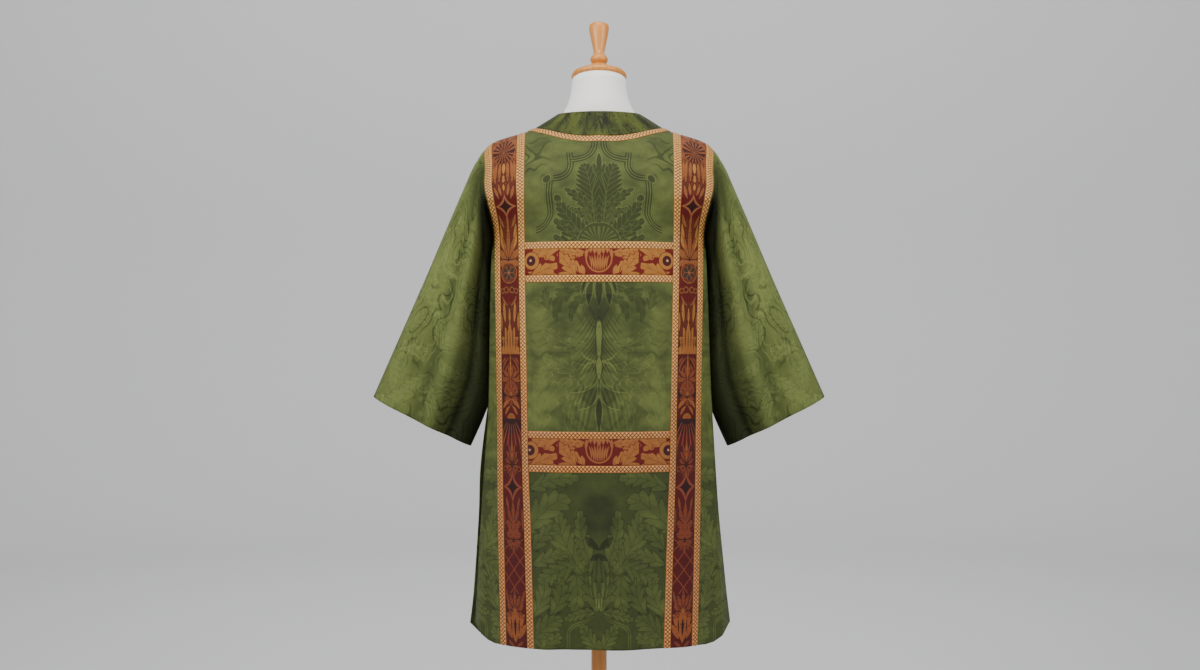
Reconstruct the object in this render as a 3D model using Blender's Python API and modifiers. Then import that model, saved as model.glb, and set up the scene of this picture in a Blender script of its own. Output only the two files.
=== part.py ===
"""A green damask dalmatic with figured orphreys, standing on a limbless dress form.

Metres, +Z up. The back of the garment faces -Y, its wearer's left is at -X, and the
origin is under the stand's foot. Every piece of cloth is a wall made from one shared
net of points, so that pieces meet edge to edge with a seam gap, and what is sewn on a
panel is made from the panel's own points, moved out.
"""

import math

import bmesh
import bpy
from mathutils import Matrix, Vector

# The two sides of the garment, by the sign of their Y
BACK = -1
FRONT = 1
SIDE_NAMES = {BACK: "back", FRONT: "front"}

# Cloth
WALL = 0.002
TRIM_WALL = 0.0012
SEAM_GAP = 0.0003

# Lengths measured down a panel from the shoulder seam
ROOF = 0.200
FIELD_TOP = 0.180
UNDERARM = 0.275
HEM = 1.100
BLADE_HEIGHT = 1.330

# Neckline and collar
NECK_HALF_WIDTH = 0.1335
NECK_BRAID = 0.0140
COLLAR_TOP_HALF_WIDTH = 0.0865
COLLAR_ROWS = 4
COLLAR_CREASES = 5
COLLAR_CREASE_DEPTH = 0.0016

# Hem
CORNER_RADIUS = 0.055
CORNER_SPAN = 0.052
CORNER_BLEND = 0.120
HEM_DROP = {BACK: 0.000, FRONT: 0.016}

# Dress form and stand
CAP_TILT = math.radians(13)
NECK_TOP = 1.579
CAP_RADIUS = 0.0573
POLE_RADIUS = 0.016
BASE_RADIUS = 0.195
BASE_BOSS_TOP = 0.052
FORM_BOTTOM = 0.800
FORM_SIDES = 24
TURNED_SIDES = 24



def table(columns, *rows):
    """A measuring table as a dictionary of named columns."""
    names = columns.split()
    return {name: [row[i] for row in rows] for i, name in enumerate(names)}


def read(rows, column, at, key="down"):
    """A table's column at any place between its rows, as a smooth curve."""
    keys = rows[key]
    values = rows[column]
    if at <= keys[0]:
        return values[0]
    if at >= keys[-1]:
        return values[-1]
    low = max(i for i in range(len(keys) - 1) if keys[i] <= at)

    def slope(i):
        before = max(i - 1, 0)
        after = min(i + 1, len(keys) - 1)
        return (values[after] - values[before]) / (keys[after] - keys[before])

    span = keys[low + 1] - keys[low]
    s = (at - keys[low]) / span
    rise = slope(low) * span * (s**3 - 2 * s**2 + s) + slope(low + 1) * span * (s**3 - s**2)
    return values[low] * (1 - 3 * s**2 + 2 * s**3) + values[low + 1] * (3 * s**2 - 2 * s**3) + rise


def ease(share):
    """0 to 1 with level ends."""
    share = min(max(share, 0.0), 1.0)
    return share * share * (3 - 2 * share)


# Shoulder line: height of the seam at each distance out from the neck's middle
SHOULDER = table(
    "out height",
    (0.000, 1.505),
    (0.095, 1.489),
    (0.134, 1.477),
    (0.153, 1.469),
    (0.217, 1.448),
    (0.234, 1.435),
    (0.240, 1.430),
)

# Outer edge of each panel: the armhole down to the underarm, then the open side slit
PANEL_EDGE = table(
    "down back_left back_right front_left front_right",
    (0.000, 0.2340, 0.2340, 0.2340, 0.2340),
    (0.059, 0.2375, 0.2375, 0.2375, 0.2375),
    (0.128, 0.2340, 0.2340, 0.2340, 0.2340),
    (0.172, 0.2345, 0.2345, 0.2345, 0.2345),
    (0.210, 0.2275, 0.2275, 0.2275, 0.2275),
    (0.251, 0.2195, 0.2195, 0.2195, 0.2195),
    (0.275, 0.2185, 0.2185, 0.2185, 0.2185),
    (0.327, 0.2215, 0.2170, 0.2200, 0.2170),
    (0.571, 0.2246, 0.2280, 0.2230, 0.2240),
    (0.637, 0.2262, 0.2315, 0.2340, 0.2265),
    (0.755, 0.2348, 0.2385, 0.2478, 0.2330),
    (0.850, 0.2407, 0.2450, 0.2510, 0.2400),
    (1.008, 0.2493, 0.2605, 0.2614, 0.2545),
    (1.100, 0.2525, 0.2675, 0.2690, 0.2610),
)

# Inner and outer edge of the upright orphreys
ORPHREY = table(
    "down inner outer",
    (0.000, 0.1505, 0.2315),
    (0.059, 0.1503, 0.2348),
    (0.128, 0.1500, 0.2313),
    (0.172, 0.1497, 0.2317),
    (0.210, 0.1495, 0.2247),
    (0.251, 0.1492, 0.2165),
    (0.327, 0.1485, 0.2128),
    (0.571, 0.1437, 0.2075),
    (0.755, 0.1395, 0.2050),
    (0.850, 0.1353, 0.2037),
    (1.100, 0.1275, 0.1970),
)

# Level sections of the hanging panels: how far the middle and the edge stand from the
# middle plane, and how late the section turns from one to the other
SECTION = table(
    "down back_middle back_edge front_middle front_edge turn",
    (0.200, 0.125, 0.070, 0.130, 0.068, 2.50),
    (0.275, 0.130, 0.012, 0.139, 0.012, 2.70),
    (0.330, 0.133, 0.026, 0.143, 0.026, 2.50),
    (0.420, 0.139, 0.042, 0.148, 0.040, 2.35),
    (0.571, 0.149, 0.046, 0.154, 0.038, 2.30),
    (0.850, 0.160, 0.046, 0.166, 0.034, 2.50),
    (1.100, 0.171, 0.050, 0.176, 0.034, 2.60),
)

# Broad folds of the panels: where each starts and how far it stands out at the hem
FOLDS = {
    BACK: table(
        "x_top x_hem start half_width depth",
        (-0.226, -0.238, 0.48, 0.012, 0.005),
        (-0.100, -0.116, 0.72, 0.034, 0.007),
        (-0.040, -0.048, 0.40, 0.040, -0.005),
        (0.032, 0.044, 0.66, 0.036, 0.006),
        (0.098, 0.112, 0.52, 0.034, -0.006),
        (0.222, 0.246, 0.44, 0.013, 0.006),
    ),
    FRONT: table(
        "x_top x_hem start half_width depth",
        (-0.224, -0.250, 0.50, 0.014, 0.006),
        (-0.092, -0.110, 0.50, 0.036, -0.006),
        (-0.028, -0.036, 0.62, 0.040, 0.008),
        (0.050, 0.060, 0.42, 0.038, -0.006),
        (0.106, 0.122, 0.70, 0.034, 0.007),
        (0.220, 0.244, 0.52, 0.013, 0.005),
    ),
}

# How far down the front and the back the neckline dips, and the collar's top edge there
NECKLINE = {
    BACK: {"dip": 0.0985, "top_depth": 0.078, "top_height": 1.506},
    FRONT: {"dip": 0.1240, "top_depth": 0.086, "top_height": 1.484},
}
COLLAR_SIDE_HEIGHT = 1.506

# A sleeve along its length: its upper and its inner fold line, and its half depth
# beside each of them
SLEEVE = table(
    "along upper_x upper_z inner_x inner_z upper_depth inner_depth",
    (0.000, 0.2365, 1.4350, 0.2185, 1.2430, 0.070, 0.040),
    (0.060, 0.2560, 1.4050, 0.2215, 1.2150, 0.072, 0.034),
    (0.136, 0.2740, 1.3650, 0.2235, 1.1850, 0.066, 0.030),
    (0.300, 0.3105, 1.2810, 0.2205, 1.1200, 0.060, 0.030),
    (0.500, 0.3550, 1.1760, 0.2190, 1.0400, 0.064, 0.036),
    (0.750, 0.4105, 1.0500, 0.2210, 0.9400, 0.072, 0.042),
    (0.900, 0.4438, 0.9745, 0.2385, 0.8850, 0.070, 0.046),
    (1.000, 0.4660, 0.9240, 0.2660, 0.8230, 0.064, 0.046),
)
SLEEVE_STATIONS = (0.045, 0.085, 0.136, 0.21, 0.29, 0.38, 0.47, 0.56, 0.65, 0.74, 0.83, 0.92, 1)
SEAM_REACH = 0.100
SEAM_LEAD = 0.005

# Long soft ridges and troughs of a sleeve: place round the half section from the upper
# fold (0) to the inner fold (1) at the shoulder and at the cuff
SLEEVE_FOLDS = table(
    "at_top at_cuff start half_width depth",
    (0.22, 0.30, 0.10, 0.09, 0.006),
    (0.42, 0.52, 0.05, 0.10, -0.009),
    (0.62, 0.72, 0.08, 0.08, 0.007),
)

FIELD_COLUMNS = 10
ORPHREY_SPLIT = (0, 0.21, 0.51, 0.81, 1)
STRIP_SPLIT = (0.5, 1)
YOKE_ROWS = (0, 0.030, 0.060, 0.090, 0.120, 0.150, FIELD_TOP)
ARMHOLE_ROWS = (*YOKE_ROWS, 0.205, 0.2285, 0.252, UNDERARM)
NECK_RINGS = (0.5, 1)

# Crosspieces: top edge measured down the panel; a braid, the figured band, a braid
CROSSPIECES = {"upper": 0.291, "lower": 0.670}
CROSS_BRAID = 0.0145
CROSS_BAND = 0.0525
ROWS_BETWEEN = (0.447, 0.521, 0.596)
ROWS_BELOW = (0.830, 0.910, 0.990, 1.055, HEM)


# ---------------------------------------------------------------- the garment's form


def edge_out(side, left, down):
    return read(PANEL_EDGE, SIDE_NAMES[side] + ("_left" if left else "_right"), down)


def fold_depth(side, x, down):
    folds = FOLDS[side]
    out = 0.0
    for i, start in enumerate(folds["start"]):
        share = ease((down - start) / (HEM - start))
        middle = folds["x_top"][i] + (folds["x_hem"][i] - folds["x_top"][i]) * share
        away = (x - middle) / folds["half_width"][i]
        out += folds["depth"][i] * share * math.exp(-away * away)
    return out


def panel_point(side, x, down):
    """A point of the front or back panel, x out from its middle and so far down."""
    hang = max(down, ROOF)
    name = SIDE_NAMES[side]
    middle = read(SECTION, name + "_middle", hang)
    edge = read(SECTION, name + "_edge", hang)
    share = abs(x) / edge_out(side, x < 0, hang)
    depth = middle + (edge - middle) * share ** read(SECTION, "turn", hang)
    if down >= ROOF:
        height = BLADE_HEIGHT - (down - ROOF)
        return Vector((x, side * (depth + fold_depth(side, x, down)), height))
    turn = math.pi / 2 * down / ROOF
    ridge = read(SHOULDER, "height", abs(x), key="out")
    height = BLADE_HEIGHT + (ridge - BLADE_HEIGHT) * math.cos(turn)
    return Vector((x, side * depth * math.sin(turn), height))


def hem_down(side, x, down):
    """How far down a point comes to lie once the hem's corners are rounded."""
    start = edge_out(side, x < 0, HEM) - CORNER_SPAN
    run = min(max(abs(x) - start, 0.0), CORNER_SPAN)
    rise = CORNER_RADIUS - math.sqrt(CORNER_RADIUS**2 - run**2) - HEM_DROP[side]
    return down - rise * ease((down - (HEM - CORNER_BLEND)) / CORNER_BLEND)


def sleeve_fold_depth(place, along):
    out = 0.0
    for i, start in enumerate(SLEEVE_FOLDS["start"]):
        share = ease((along - start) / 0.3)
        top = SLEEVE_FOLDS["at_top"][i]
        middle = top + (SLEEVE_FOLDS["at_cuff"][i] - top) * along
        away = (place - middle) / SLEEVE_FOLDS["half_width"][i]
        out += SLEEVE_FOLDS["depth"][i] * share * math.exp(-away * away)
    return out


def sleeve_section(hand, half, place, along):
    """A point round a sleeve: half is its back or front, place 0 above to 1 inside."""
    row = {name: read(SLEEVE, name, along, key="along") for name in SLEEVE}
    turn = math.pi * place
    across = (1 - math.cos(turn)) / 2
    x = row["upper_x"] + (row["inner_x"] - row["upper_x"]) * across
    z = row["upper_z"] + (row["inner_z"] - row["upper_z"]) * across
    depth = row["upper_depth"] + (row["inner_depth"] - row["upper_depth"]) * across
    out = math.sin(turn) * (depth + sleeve_fold_depth(place, along))
    return Vector((hand * x, half * out, z))


def armhole_point(hand, half, step):
    """A point of the armhole seam, from the shoulder (0) to the underarm."""
    if step == len(ARMHOLE_ROWS):
        low = panel_point(half, hand * edge_out(half, hand < 0, UNDERARM), UNDERARM)
        return Vector((low.x, 0, read(SLEEVE, "inner_z", 0, key="along")))
    down = ARMHOLE_ROWS[step]
    return panel_point(half, hand * edge_out(half, hand < 0, down), down)


def round_armhole():
    """The steps of a ring of sleeve points: down the back, then up the front."""
    last = len(ARMHOLE_ROWS)
    return [(BACK, step) for step in range(last + 1)] + [(FRONT, step) for step in range(last - 1, 0, -1)]


def sleeve_ring(hand, along):
    """The closed ring of points round a sleeve at one place along it."""
    ring = []
    pull = 1 - ease(along / SEAM_REACH)
    for half, step in round_armhole():
        place = step / len(ARMHOLE_ROWS)
        drift = armhole_point(hand, half, step) - sleeve_section(hand, half, place, 0)
        ring.append(sleeve_section(hand, half, place, along) + drift * pull)
    return ring


def seam_rings(hand):
    """The armhole seam, and the line just past it where the sleeve still runs on flat."""
    seam = []
    lead = []
    for half, step in round_armhole():
        place = armhole_point(hand, half, step)
        down = ARMHOLE_ROWS[min(step, len(ARMHOLE_ROWS) - 1)]
        edge = hand * edge_out(half, hand < 0, down)
        inside = edge - hand * SEAM_LEAD
        onward = (panel_point(half, edge, down) - panel_point(half, inside, down)).normalized()
        if step == len(ARMHOLE_ROWS):
            onward.y = 0
        seam.append(place)
        lead.append(place + onward * SEAM_LEAD)
    return [seam, lead]


# ------------------------------------------------------------ the shared net of cloth


class Net:
    """The garment's middle surface: shared points, and the faces of each piece."""

    def __init__(self):
        self.points = []
        self.places = {}
        self.pieces = {}
        self.normals = []

    def point(self, place):
        key = tuple(round(value * 1e6) for value in place)
        if key not in self.places:
            self.places[key] = len(self.points)
            self.points.append(Vector(place))
        return self.places[key]

    def add(self, piece, corners, flip=False):
        """One four-sided face, cut in two along the same diagonal in every layer."""
        a, b, c, d = (self.point(corner) for corner in corners)
        if flip:
            a, b, c, d = a, d, c, b
        self.pieces.setdefault(piece, []).extend([(a, b, c), (a, c, d)])

    def find_normals(self, pieces):
        self.normals = [Vector() for _ in self.points]
        for piece in pieces:
            for face in self.pieces[piece]:
                for i, corner in enumerate(face):
                    ahead = self.points[face[(i + 1) % 3]] - self.points[corner]
                    behind = self.points[face[(i + 2) % 3]] - self.points[corner]
                    normal = ahead.cross(behind).normalized()
                    self.normals[corner] += normal * ahead.angle(behind)
        for normal in self.normals:
            normal.normalize()


def inward_pulls(net, faces):
    """The rim edges of some faces, and for each rim point the way into the piece."""
    owners = {}
    for face in faces:
        for i in range(3):
            owners[face[i], face[(i + 1) % 3]] = face
    rim = sorted(edge for edge in owners if (edge[1], edge[0]) not in owners)
    pulls = {corner: Vector() for edge in rim for corner in edge}
    for a, b in rim:
        corners = [net.points[corner] for corner in owners[a, b]]
        across = (corners[1] - corners[0]).cross(corners[2] - corners[0])
        pull = across.cross(net.points[b] - net.points[a]).normalized()
        pulls[a] += pull
        pulls[b] += pull
    for corner, pull in pulls.items():
        flat = pull - net.normals[corner] * pull.dot(net.normals[corner])
        pulls[corner] = flat.normalized() * 2 / max(flat.length, 1)
    return rim, pulls


def make_wall(net, piece, name, low, high, material):
    """A closed wall on a piece's faces, from low to high above the middle surface."""
    faces = net.pieces[piece]
    rim, pulls = inward_pulls(net, faces)
    bm = bmesh.new()
    outer = {}
    inner = {}
    for corner in sorted({corner for face in faces for corner in face}):
        place = net.points[corner] + pulls.get(corner, Vector()) * SEAM_GAP / 2
        outer[corner] = bm.verts.new(place + net.normals[corner] * high)
        inner[corner] = bm.verts.new(place + net.normals[corner] * low)
    for a, b, c in faces:
        bm.faces.new((outer[a], outer[b], outer[c]))
        bm.faces.new((inner[a], inner[c], inner[b]))
    for a, b in rim:
        bm.faces.new((outer[b], outer[a], inner[a]))
        bm.faces.new((outer[b], inner[a], inner[b]))
    return finish_mesh(bm, name, material)


# ------------------------------------------------------------------- panels and trims


def column_places(side, down):
    """The x of every column line of a panel at one height, from its left edge."""
    inner = read(ORPHREY, "inner", down)
    outer = read(ORPHREY, "outer", down)

    def half(left):
        edge = edge_out(side, left, down)
        band = [inner + (outer - inner) * share for share in ORPHREY_SPLIT]
        return band + [outer + (edge - outer) * share for share in STRIP_SPLIT]

    field = [inner * (2 * i / FIELD_COLUMNS - 1) for i in range(1, FIELD_COLUMNS)]
    return [-x for x in reversed(half(True))] + field + half(False)


def row_lines():
    rows = list(ARMHOLE_ROWS)
    for name, between in (("upper", ROWS_BETWEEN), ("lower", ROWS_BELOW)):
        top = CROSSPIECES[name]
        rows += [top, top + CROSS_BRAID, top + CROSS_BRAID + CROSS_BAND]
        rows += [top + 2 * CROSS_BRAID + CROSS_BAND, *between]
    return rows


def crosspiece_part(down_from, down_to):
    """Which strip of which crosspiece lies between two row lines, if any."""
    middle = (down_from + down_to) / 2
    for name, top in CROSSPIECES.items():
        at = middle - top
        if 0 < at < 2 * CROSS_BRAID + CROSS_BAND:
            if at < CROSS_BRAID:
                return name + "_braid_top"
            if at < CROSS_BRAID + CROSS_BAND:
                return name + "_band"
            return name + "_braid_bottom"
    return None


def lay_panel(net, side):
    """One panel with its upright orphreys and crosspieces, as a net of rows and columns."""
    name = SIDE_NAMES[side]
    rows = row_lines()
    grid = []
    for down in rows:
        places = column_places(side, down)
        grid.append([panel_point(side, x, hem_down(side, x, down)) for x in places])
    strip = len(STRIP_SPLIT)
    band = len(ORPHREY_SPLIT) - 1
    field_from = strip + band
    field_to = field_from + FIELD_COLUMNS
    left_band = ["braid_outer", *["band"] * (band - 2), "braid_inner"]
    for r in range(len(rows) - 1):
        for c in range(len(grid[0]) - 1):
            in_field = field_from <= c < field_to
            if in_field and rows[r] < FIELD_TOP:
                continue
            corners = (grid[r][c], grid[r + 1][c], grid[r + 1][c + 1], grid[r][c + 1])
            flip = side == FRONT
            net.add(name + "_panel", corners, flip)
            if in_field:
                part = crosspiece_part(rows[r], rows[r + 1])
                if part:
                    net.add(f"{name}_cross_{part}", corners, flip)
            elif strip <= c < field_from:
                net.add(f"{name}_orphrey_left_{left_band[c - strip]}", corners, flip)
            elif field_to <= c < field_to + band:
                part = left_band[band - 1 - (c - field_to)]
                net.add(f"{name}_orphrey_right_{part}", corners, flip)
    lay_yoke(net, side, grid, field_from, field_to)


def neck_ring(side, grow, count):
    """The neckline, or a line so far outside it, from the left shoulder to the right."""
    dip = NECKLINE[side]["dip"] + grow * ROOF / (BLADE_HEIGHT - 1.105)
    ring = []
    for i in range(count + 1):
        turn = math.pi * (1 - i / count)
        ring.append(((NECK_HALF_WIDTH + grow) * math.cos(turn), dip * math.sin(turn)))
    return ring


def lay_yoke(net, side, grid, field_from, field_to):
    """The panel's top between the orphreys, in rings round the neckline."""
    name = SIDE_NAMES[side]
    inner = [read(ORPHREY, "inner", down) for down in YOKE_ROWS]
    left = [(-x, down) for x, down in zip(inner, YOKE_ROWS)]
    right = [(x, down) for x, down in zip(reversed(inner), reversed(YOKE_ROWS))]
    field = [
        (inner[-1] * (2 * i / FIELD_COLUMNS - 1), FIELD_TOP) for i in range(1, FIELD_COLUMNS)
    ]
    outline = left + field + right
    count = len(outline) - 1
    braid = neck_ring(side, NECK_BRAID, count)
    rings = [neck_ring(side, 0, count), braid]
    for share in NECK_RINGS:
        rings.append(
            [
                (a[0] + (b[0] - a[0]) * share, a[1] + (b[1] - a[1]) * share)
                for a, b in zip(braid, outline)
            ]
        )
    placed = [[panel_point(side, x, down) for x, down in ring] for ring in rings]
    for r in range(len(placed) - 1):
        for i in range(count):
            corners = (placed[r][i], placed[r + 1][i], placed[r + 1][i + 1], placed[r][i + 1])
            net.add(name + "_panel", corners, side == FRONT)
            if r == 0:
                net.add(name + "_neck_braid", corners, side == FRONT)


# ---------------------------------------------------------------- sleeves and collar


def lay_sleeve(net, hand):
    rings = seam_rings(hand) + [sleeve_ring(hand, along) for along in SLEEVE_STATIONS]
    name = "sleeve_left" if hand < 0 else "sleeve_right"
    count = len(rings[0])
    for near, far in zip(rings, rings[1:]):
        for i in range(count):
            j = (i + 1) % count
            net.add(name, (near[i], near[j], far[j], far[i]), hand < 0)


def lay_collar(net):
    """The standing collar, from the neckline up, with soft upright creases."""
    count = FIELD_COLUMNS + 2 * (len(YOKE_ROWS) - 1)
    base = []
    top = []
    for side in (BACK, FRONT):
        line = neck_ring(side, 0, count)
        places = line[:-1] if side == BACK else line[:0:-1]
        for x, down in places:
            base.append(panel_point(side, x, down))
            cosine = x / NECK_HALF_WIDTH
            sine = math.sqrt(max(1 - cosine * cosine, 0.0))
            neck = NECKLINE[side]
            drop = (neck["top_height"] - COLLAR_SIDE_HEIGHT) * ease(sine)
            height = COLLAR_SIDE_HEIGHT + drop
            depth = side * neck["top_depth"] * sine
            top.append(Vector((COLLAR_TOP_HALF_WIDTH * cosine, depth, height)))
    rings = []
    for row in range(COLLAR_ROWS + 1):
        share = row / COLLAR_ROWS
        ring = []
        for i, (low, high) in enumerate(zip(base, top)):
            place = low.lerp(high, share)
            outward = Vector((place.x, place.y, 0)).normalized()
            wave = math.sin(2 * math.pi * COLLAR_CREASES * i / count)
            ring.append(place + outward * wave * COLLAR_CREASE_DEPTH * math.sin(math.pi * share))
        rings.append(ring)
    for lower, upper in zip(rings, rings[1:]):
        for i in range(len(lower)):
            j = (i + 1) % len(lower)
            net.add("collar", (lower[i], lower[j], upper[j], upper[i]))


# --------------------------------------------------------------- dress form and stand

# Level rings of the form: half width, half depth and squareness; cut is how much of the
# neck top's slope the ring follows
FORM = table(
    "height half_width half_depth power cut",
    (FORM_BOTTOM, 0.148, 0.104, 2.3, 0),
    (0.840, 0.163, 0.114, 2.3, 0),
    (0.900, 0.167, 0.117, 2.3, 0),
    (0.980, 0.154, 0.108, 2.3, 0),
    (1.060, 0.139, 0.099, 2.3, 0),
    (1.150, 0.149, 0.106, 2.3, 0),
    (1.240, 0.167, 0.114, 2.3, 0),
    (1.320, 0.181, 0.112, 2.3, 0),
    (1.380, 0.190, 0.099, 2.1, 0),
    (1.425, 0.195, 0.080, 1.8, 0),
    (1.446, 0.191, 0.068, 1.6, 0),
)
FORM_NECK = table(
    "height half_width half_depth power cut",
    (1.4745, 0.1335, 0.0610, 1.55, 0),
    (1.4835, 0.1120, 0.0620, 1.7, 0),
    (1.4930, 0.0940, 0.0630, 1.8, 0),
    (1.5050, 0.0790, 0.0640, 1.9, 0),
    (1.5250, 0.0665, 0.0630, 2.0, 0),
    (1.5500, 0.0590, 0.0590, 2.0, 0.4),
    (NECK_TOP - 0.0003, 0.0555, 0.0555, 2.0, 1),
)
REST_PLACES = (0.1755, 0.1675, 0.1505)
REST_DEPTHS = (0.060, 0.059, 0.058)
REST_GAP = 0.0005


def form_rings():
    """The form's rings; at the shoulders it comes up to just under the cloth."""
    rings = list(zip(*(FORM[name] for name in ("height", "half_width", "half_depth", "power", "cut"))))
    for out, depth in zip(REST_PLACES, REST_DEPTHS):
        height = read(SHOULDER, "height", out, key="out") - WALL / 2 - REST_GAP
        rings.append((height, out, depth, 1.45, 0))
    rings += zip(*(FORM_NECK[name] for name in ("height", "half_width", "half_depth", "power", "cut")))
    return rings


def make_form(material):
    bm = bmesh.new()
    loops = []
    for height, half_width, half_depth, power, cut in form_rings():
        loop = []
        for i in range(FORM_SIDES):
            turn = 2 * math.pi * i / FORM_SIDES
            cosine = math.cos(turn)
            sine = math.sin(turn)
            x = math.copysign(abs(cosine) ** (2 / power) * half_width, cosine)
            y = math.copysign(abs(sine) ** (2 / power) * half_depth, sine)
            loop.append(bm.verts.new((x, y, height - cut * y * math.tan(CAP_TILT))))
        loops.append(loop)
    for lower, upper in zip(loops, loops[1:]):
        for i in range(FORM_SIDES):
            j = (i + 1) % FORM_SIDES
            bm.faces.new((lower[i], lower[j], upper[j]))
            bm.faces.new((lower[i], upper[j], upper[i]))
    bm.faces.new(list(reversed(loops[0])))
    bm.faces.new(loops[-1])
    return finish_mesh(bm, "form_torso", material)


def make_turned(name, profile, material, tilt=0.0, foot=0.0):
    """A turned piece from its outline, given as (radius, height) from the top down."""
    bm = bmesh.new()
    points = [bm.verts.new((radius, 0, height)) for radius, height in profile]
    for a, b in zip(points, points[1:]):
        bm.edges.new((a, b))
    piece = finish_mesh(bm, name, material)
    turned = piece.modifiers.new("Turned", "SCREW")
    turned.angle = 2 * math.pi
    turned.steps = TURNED_SIDES
    turned.render_steps = TURNED_SIDES
    turned.use_merge_vertices = True
    turned.merge_threshold = 0.00001
    piece.location = (0, 0, foot)
    piece.rotation_euler = (-tilt, 0, 0)
    return piece


def arc(centre, radius, start, stop, steps):
    """Points of a round stretch of a turned outline, angles in degrees from +radius."""
    points = []
    for i in range(steps + 1):
        turn = math.radians(start + (stop - start) * i / steps)
        points.append((centre[0] + radius * math.cos(turn), centre[1] + radius * math.sin(turn)))
    return points


def make_stand():
    wood = make_material("turned_beech", (0.76, 0.49, 0.25), 0.45)
    linen = make_material("form_linen", (0.74, 0.68, 0.58), 0.85)
    make_form(linen)
    rim = 0.007
    cap = [(0, 0.0335), (0.016, 0.0335), (0.024, 0.029), (0.041, 0.0185), (0.049, 0.0165)]
    cap += arc((CAP_RADIUS - rim, rim + 0.001), rim, 80, -60, 5)
    cap += [(CAP_RADIUS - rim - 0.003, 0), (0, 0)]
    make_turned("neck_cap", cap, wood, CAP_TILT, NECK_TOP)
    knob = [(0, 0.1245), (0.0135, 0.1243), (0.0195, 0.1215), (0.0208, 0.1165), (0.0196, 0.105)]
    knob += [(0.0148, 0.080), (0.0118, 0.066), (0.0112, 0.0585)]
    knob += arc((0.0092, 0.0455), 0.0092, 60, -60, 5)
    knob += [(0.0100, 0.0338), (0, 0.0338)]
    make_turned("finial", knob, wood, CAP_TILT, NECK_TOP)
    base = [(0, BASE_BOSS_TOP), (0.024, BASE_BOSS_TOP), (0.030, 0.047), (0.034, 0.036)]
    base += [(0.060, 0.031), (BASE_RADIUS - 0.040, 0.027)]
    base += arc((BASE_RADIUS - 0.0125, 0.0125), 0.0125, 90, -50, 6)
    base += [(BASE_RADIUS - 0.010, 0), (0, 0)]
    make_turned("stand_base", base, wood)
    low = BASE_BOSS_TOP + SEAM_GAP
    high = FORM_BOTTOM - SEAM_GAP
    bpy.ops.mesh.primitive_cylinder_add(
        vertices=24, radius=POLE_RADIUS, depth=high - low, location=(0, 0, (low + high) / 2)
    )
    pole = bpy.context.object
    pole.name = "stand_pole"
    adopt(pole, wood)


# ------------------------------------------------------------------------- the whole


def make_material(name, colour, roughness):
    material = bpy.data.materials.new(name)
    material.use_nodes = True
    shader = material.node_tree.nodes["Principled BSDF"]
    shader.inputs["Base Color"].default_value = (*colour, 1)
    shader.inputs["Roughness"].default_value = roughness
    shader.inputs["Metallic"].default_value = 0
    return material


def adopt(piece, material):
    """Puts a finished piece in the object's collection, with its material."""
    for collection in piece.users_collection:
        collection.objects.unlink(piece)
    bpy.data.collections["dalmatic"].objects.link(piece)
    piece.data.materials.clear()
    piece.data.materials.append(material)


def finish_mesh(bm, name, material):
    mesh = bpy.data.meshes.new(name)
    bm.to_mesh(mesh)
    bm.free()
    mesh.shade_smooth()
    piece = bpy.data.objects.new(name, mesh)
    bpy.context.scene.collection.objects.link(piece)
    adopt(piece, material)
    return piece


def make_garment():
    damask = make_material("green_damask", (0.10, 0.16, 0.045), 0.55)
    brocade = make_material("figured_brocade", (0.33, 0.06, 0.04), 0.6)
    galloon = make_material("gold_galloon", (0.55, 0.33, 0.14), 0.55)
    net = Net()
    for side in (BACK, FRONT):
        lay_panel(net, side)
    for hand in (-1, 1):
        lay_sleeve(net, hand)
    lay_collar(net)
    cloth = ["back_panel", "front_panel", "sleeve_left", "sleeve_right", "collar"]
    net.find_normals(cloth)
    trim_low = WALL / 2 + SEAM_GAP
    for piece in net.pieces:
        if piece in cloth:
            make_wall(net, piece, piece, -WALL / 2, WALL / 2, damask)
        else:
            material = brocade if piece.endswith("band") else galloon
            make_wall(net, piece, piece, trim_low, trim_low + TRIM_WALL, material)


def main():
    for old in list(bpy.data.objects):
        bpy.data.objects.remove(old, do_unlink=True)
    bpy.context.scene.collection.children.link(bpy.data.collections.new("dalmatic"))
    make_garment()
    make_stand()


main()
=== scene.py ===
import math
from functools import reduce
from itertools import product

import bpy
import numpy as np
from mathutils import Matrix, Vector


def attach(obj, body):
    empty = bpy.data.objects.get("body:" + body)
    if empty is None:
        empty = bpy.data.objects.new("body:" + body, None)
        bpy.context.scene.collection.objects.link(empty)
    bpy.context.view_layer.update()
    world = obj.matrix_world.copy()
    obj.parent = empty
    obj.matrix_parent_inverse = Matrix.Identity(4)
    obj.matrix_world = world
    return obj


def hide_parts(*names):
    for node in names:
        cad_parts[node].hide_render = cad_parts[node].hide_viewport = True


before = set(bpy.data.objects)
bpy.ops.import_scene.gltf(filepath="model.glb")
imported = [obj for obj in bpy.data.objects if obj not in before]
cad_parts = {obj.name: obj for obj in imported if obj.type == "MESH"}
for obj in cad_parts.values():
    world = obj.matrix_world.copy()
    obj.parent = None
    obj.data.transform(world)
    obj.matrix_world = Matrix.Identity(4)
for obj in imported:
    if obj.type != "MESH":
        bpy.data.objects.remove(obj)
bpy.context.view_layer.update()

print("frame loaded")

back, front = -1, 1      # the garment's two sides, by the sign of their Y
sideNames = {back: "back", front: "front"}
left, right = -1, 1      # its two hands, by the sign of their X
handNames = {left: "left", right: "right"}


# Measuring tables and curves

def table(columns, *rows):
    return {name: np.array([row[i] for row in rows]) for i, name in enumerate(columns.split())}


def blend(start, stop, share):
    return start + (stop - start) * share


def joined(*parts):
    return np.stack(np.broadcast_arrays(*parts), axis=-1)


def unit(vectors):
    return vectors / np.maximum(np.linalg.norm(vectors, axis=-1, keepdims=True), 1e-12)


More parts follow.
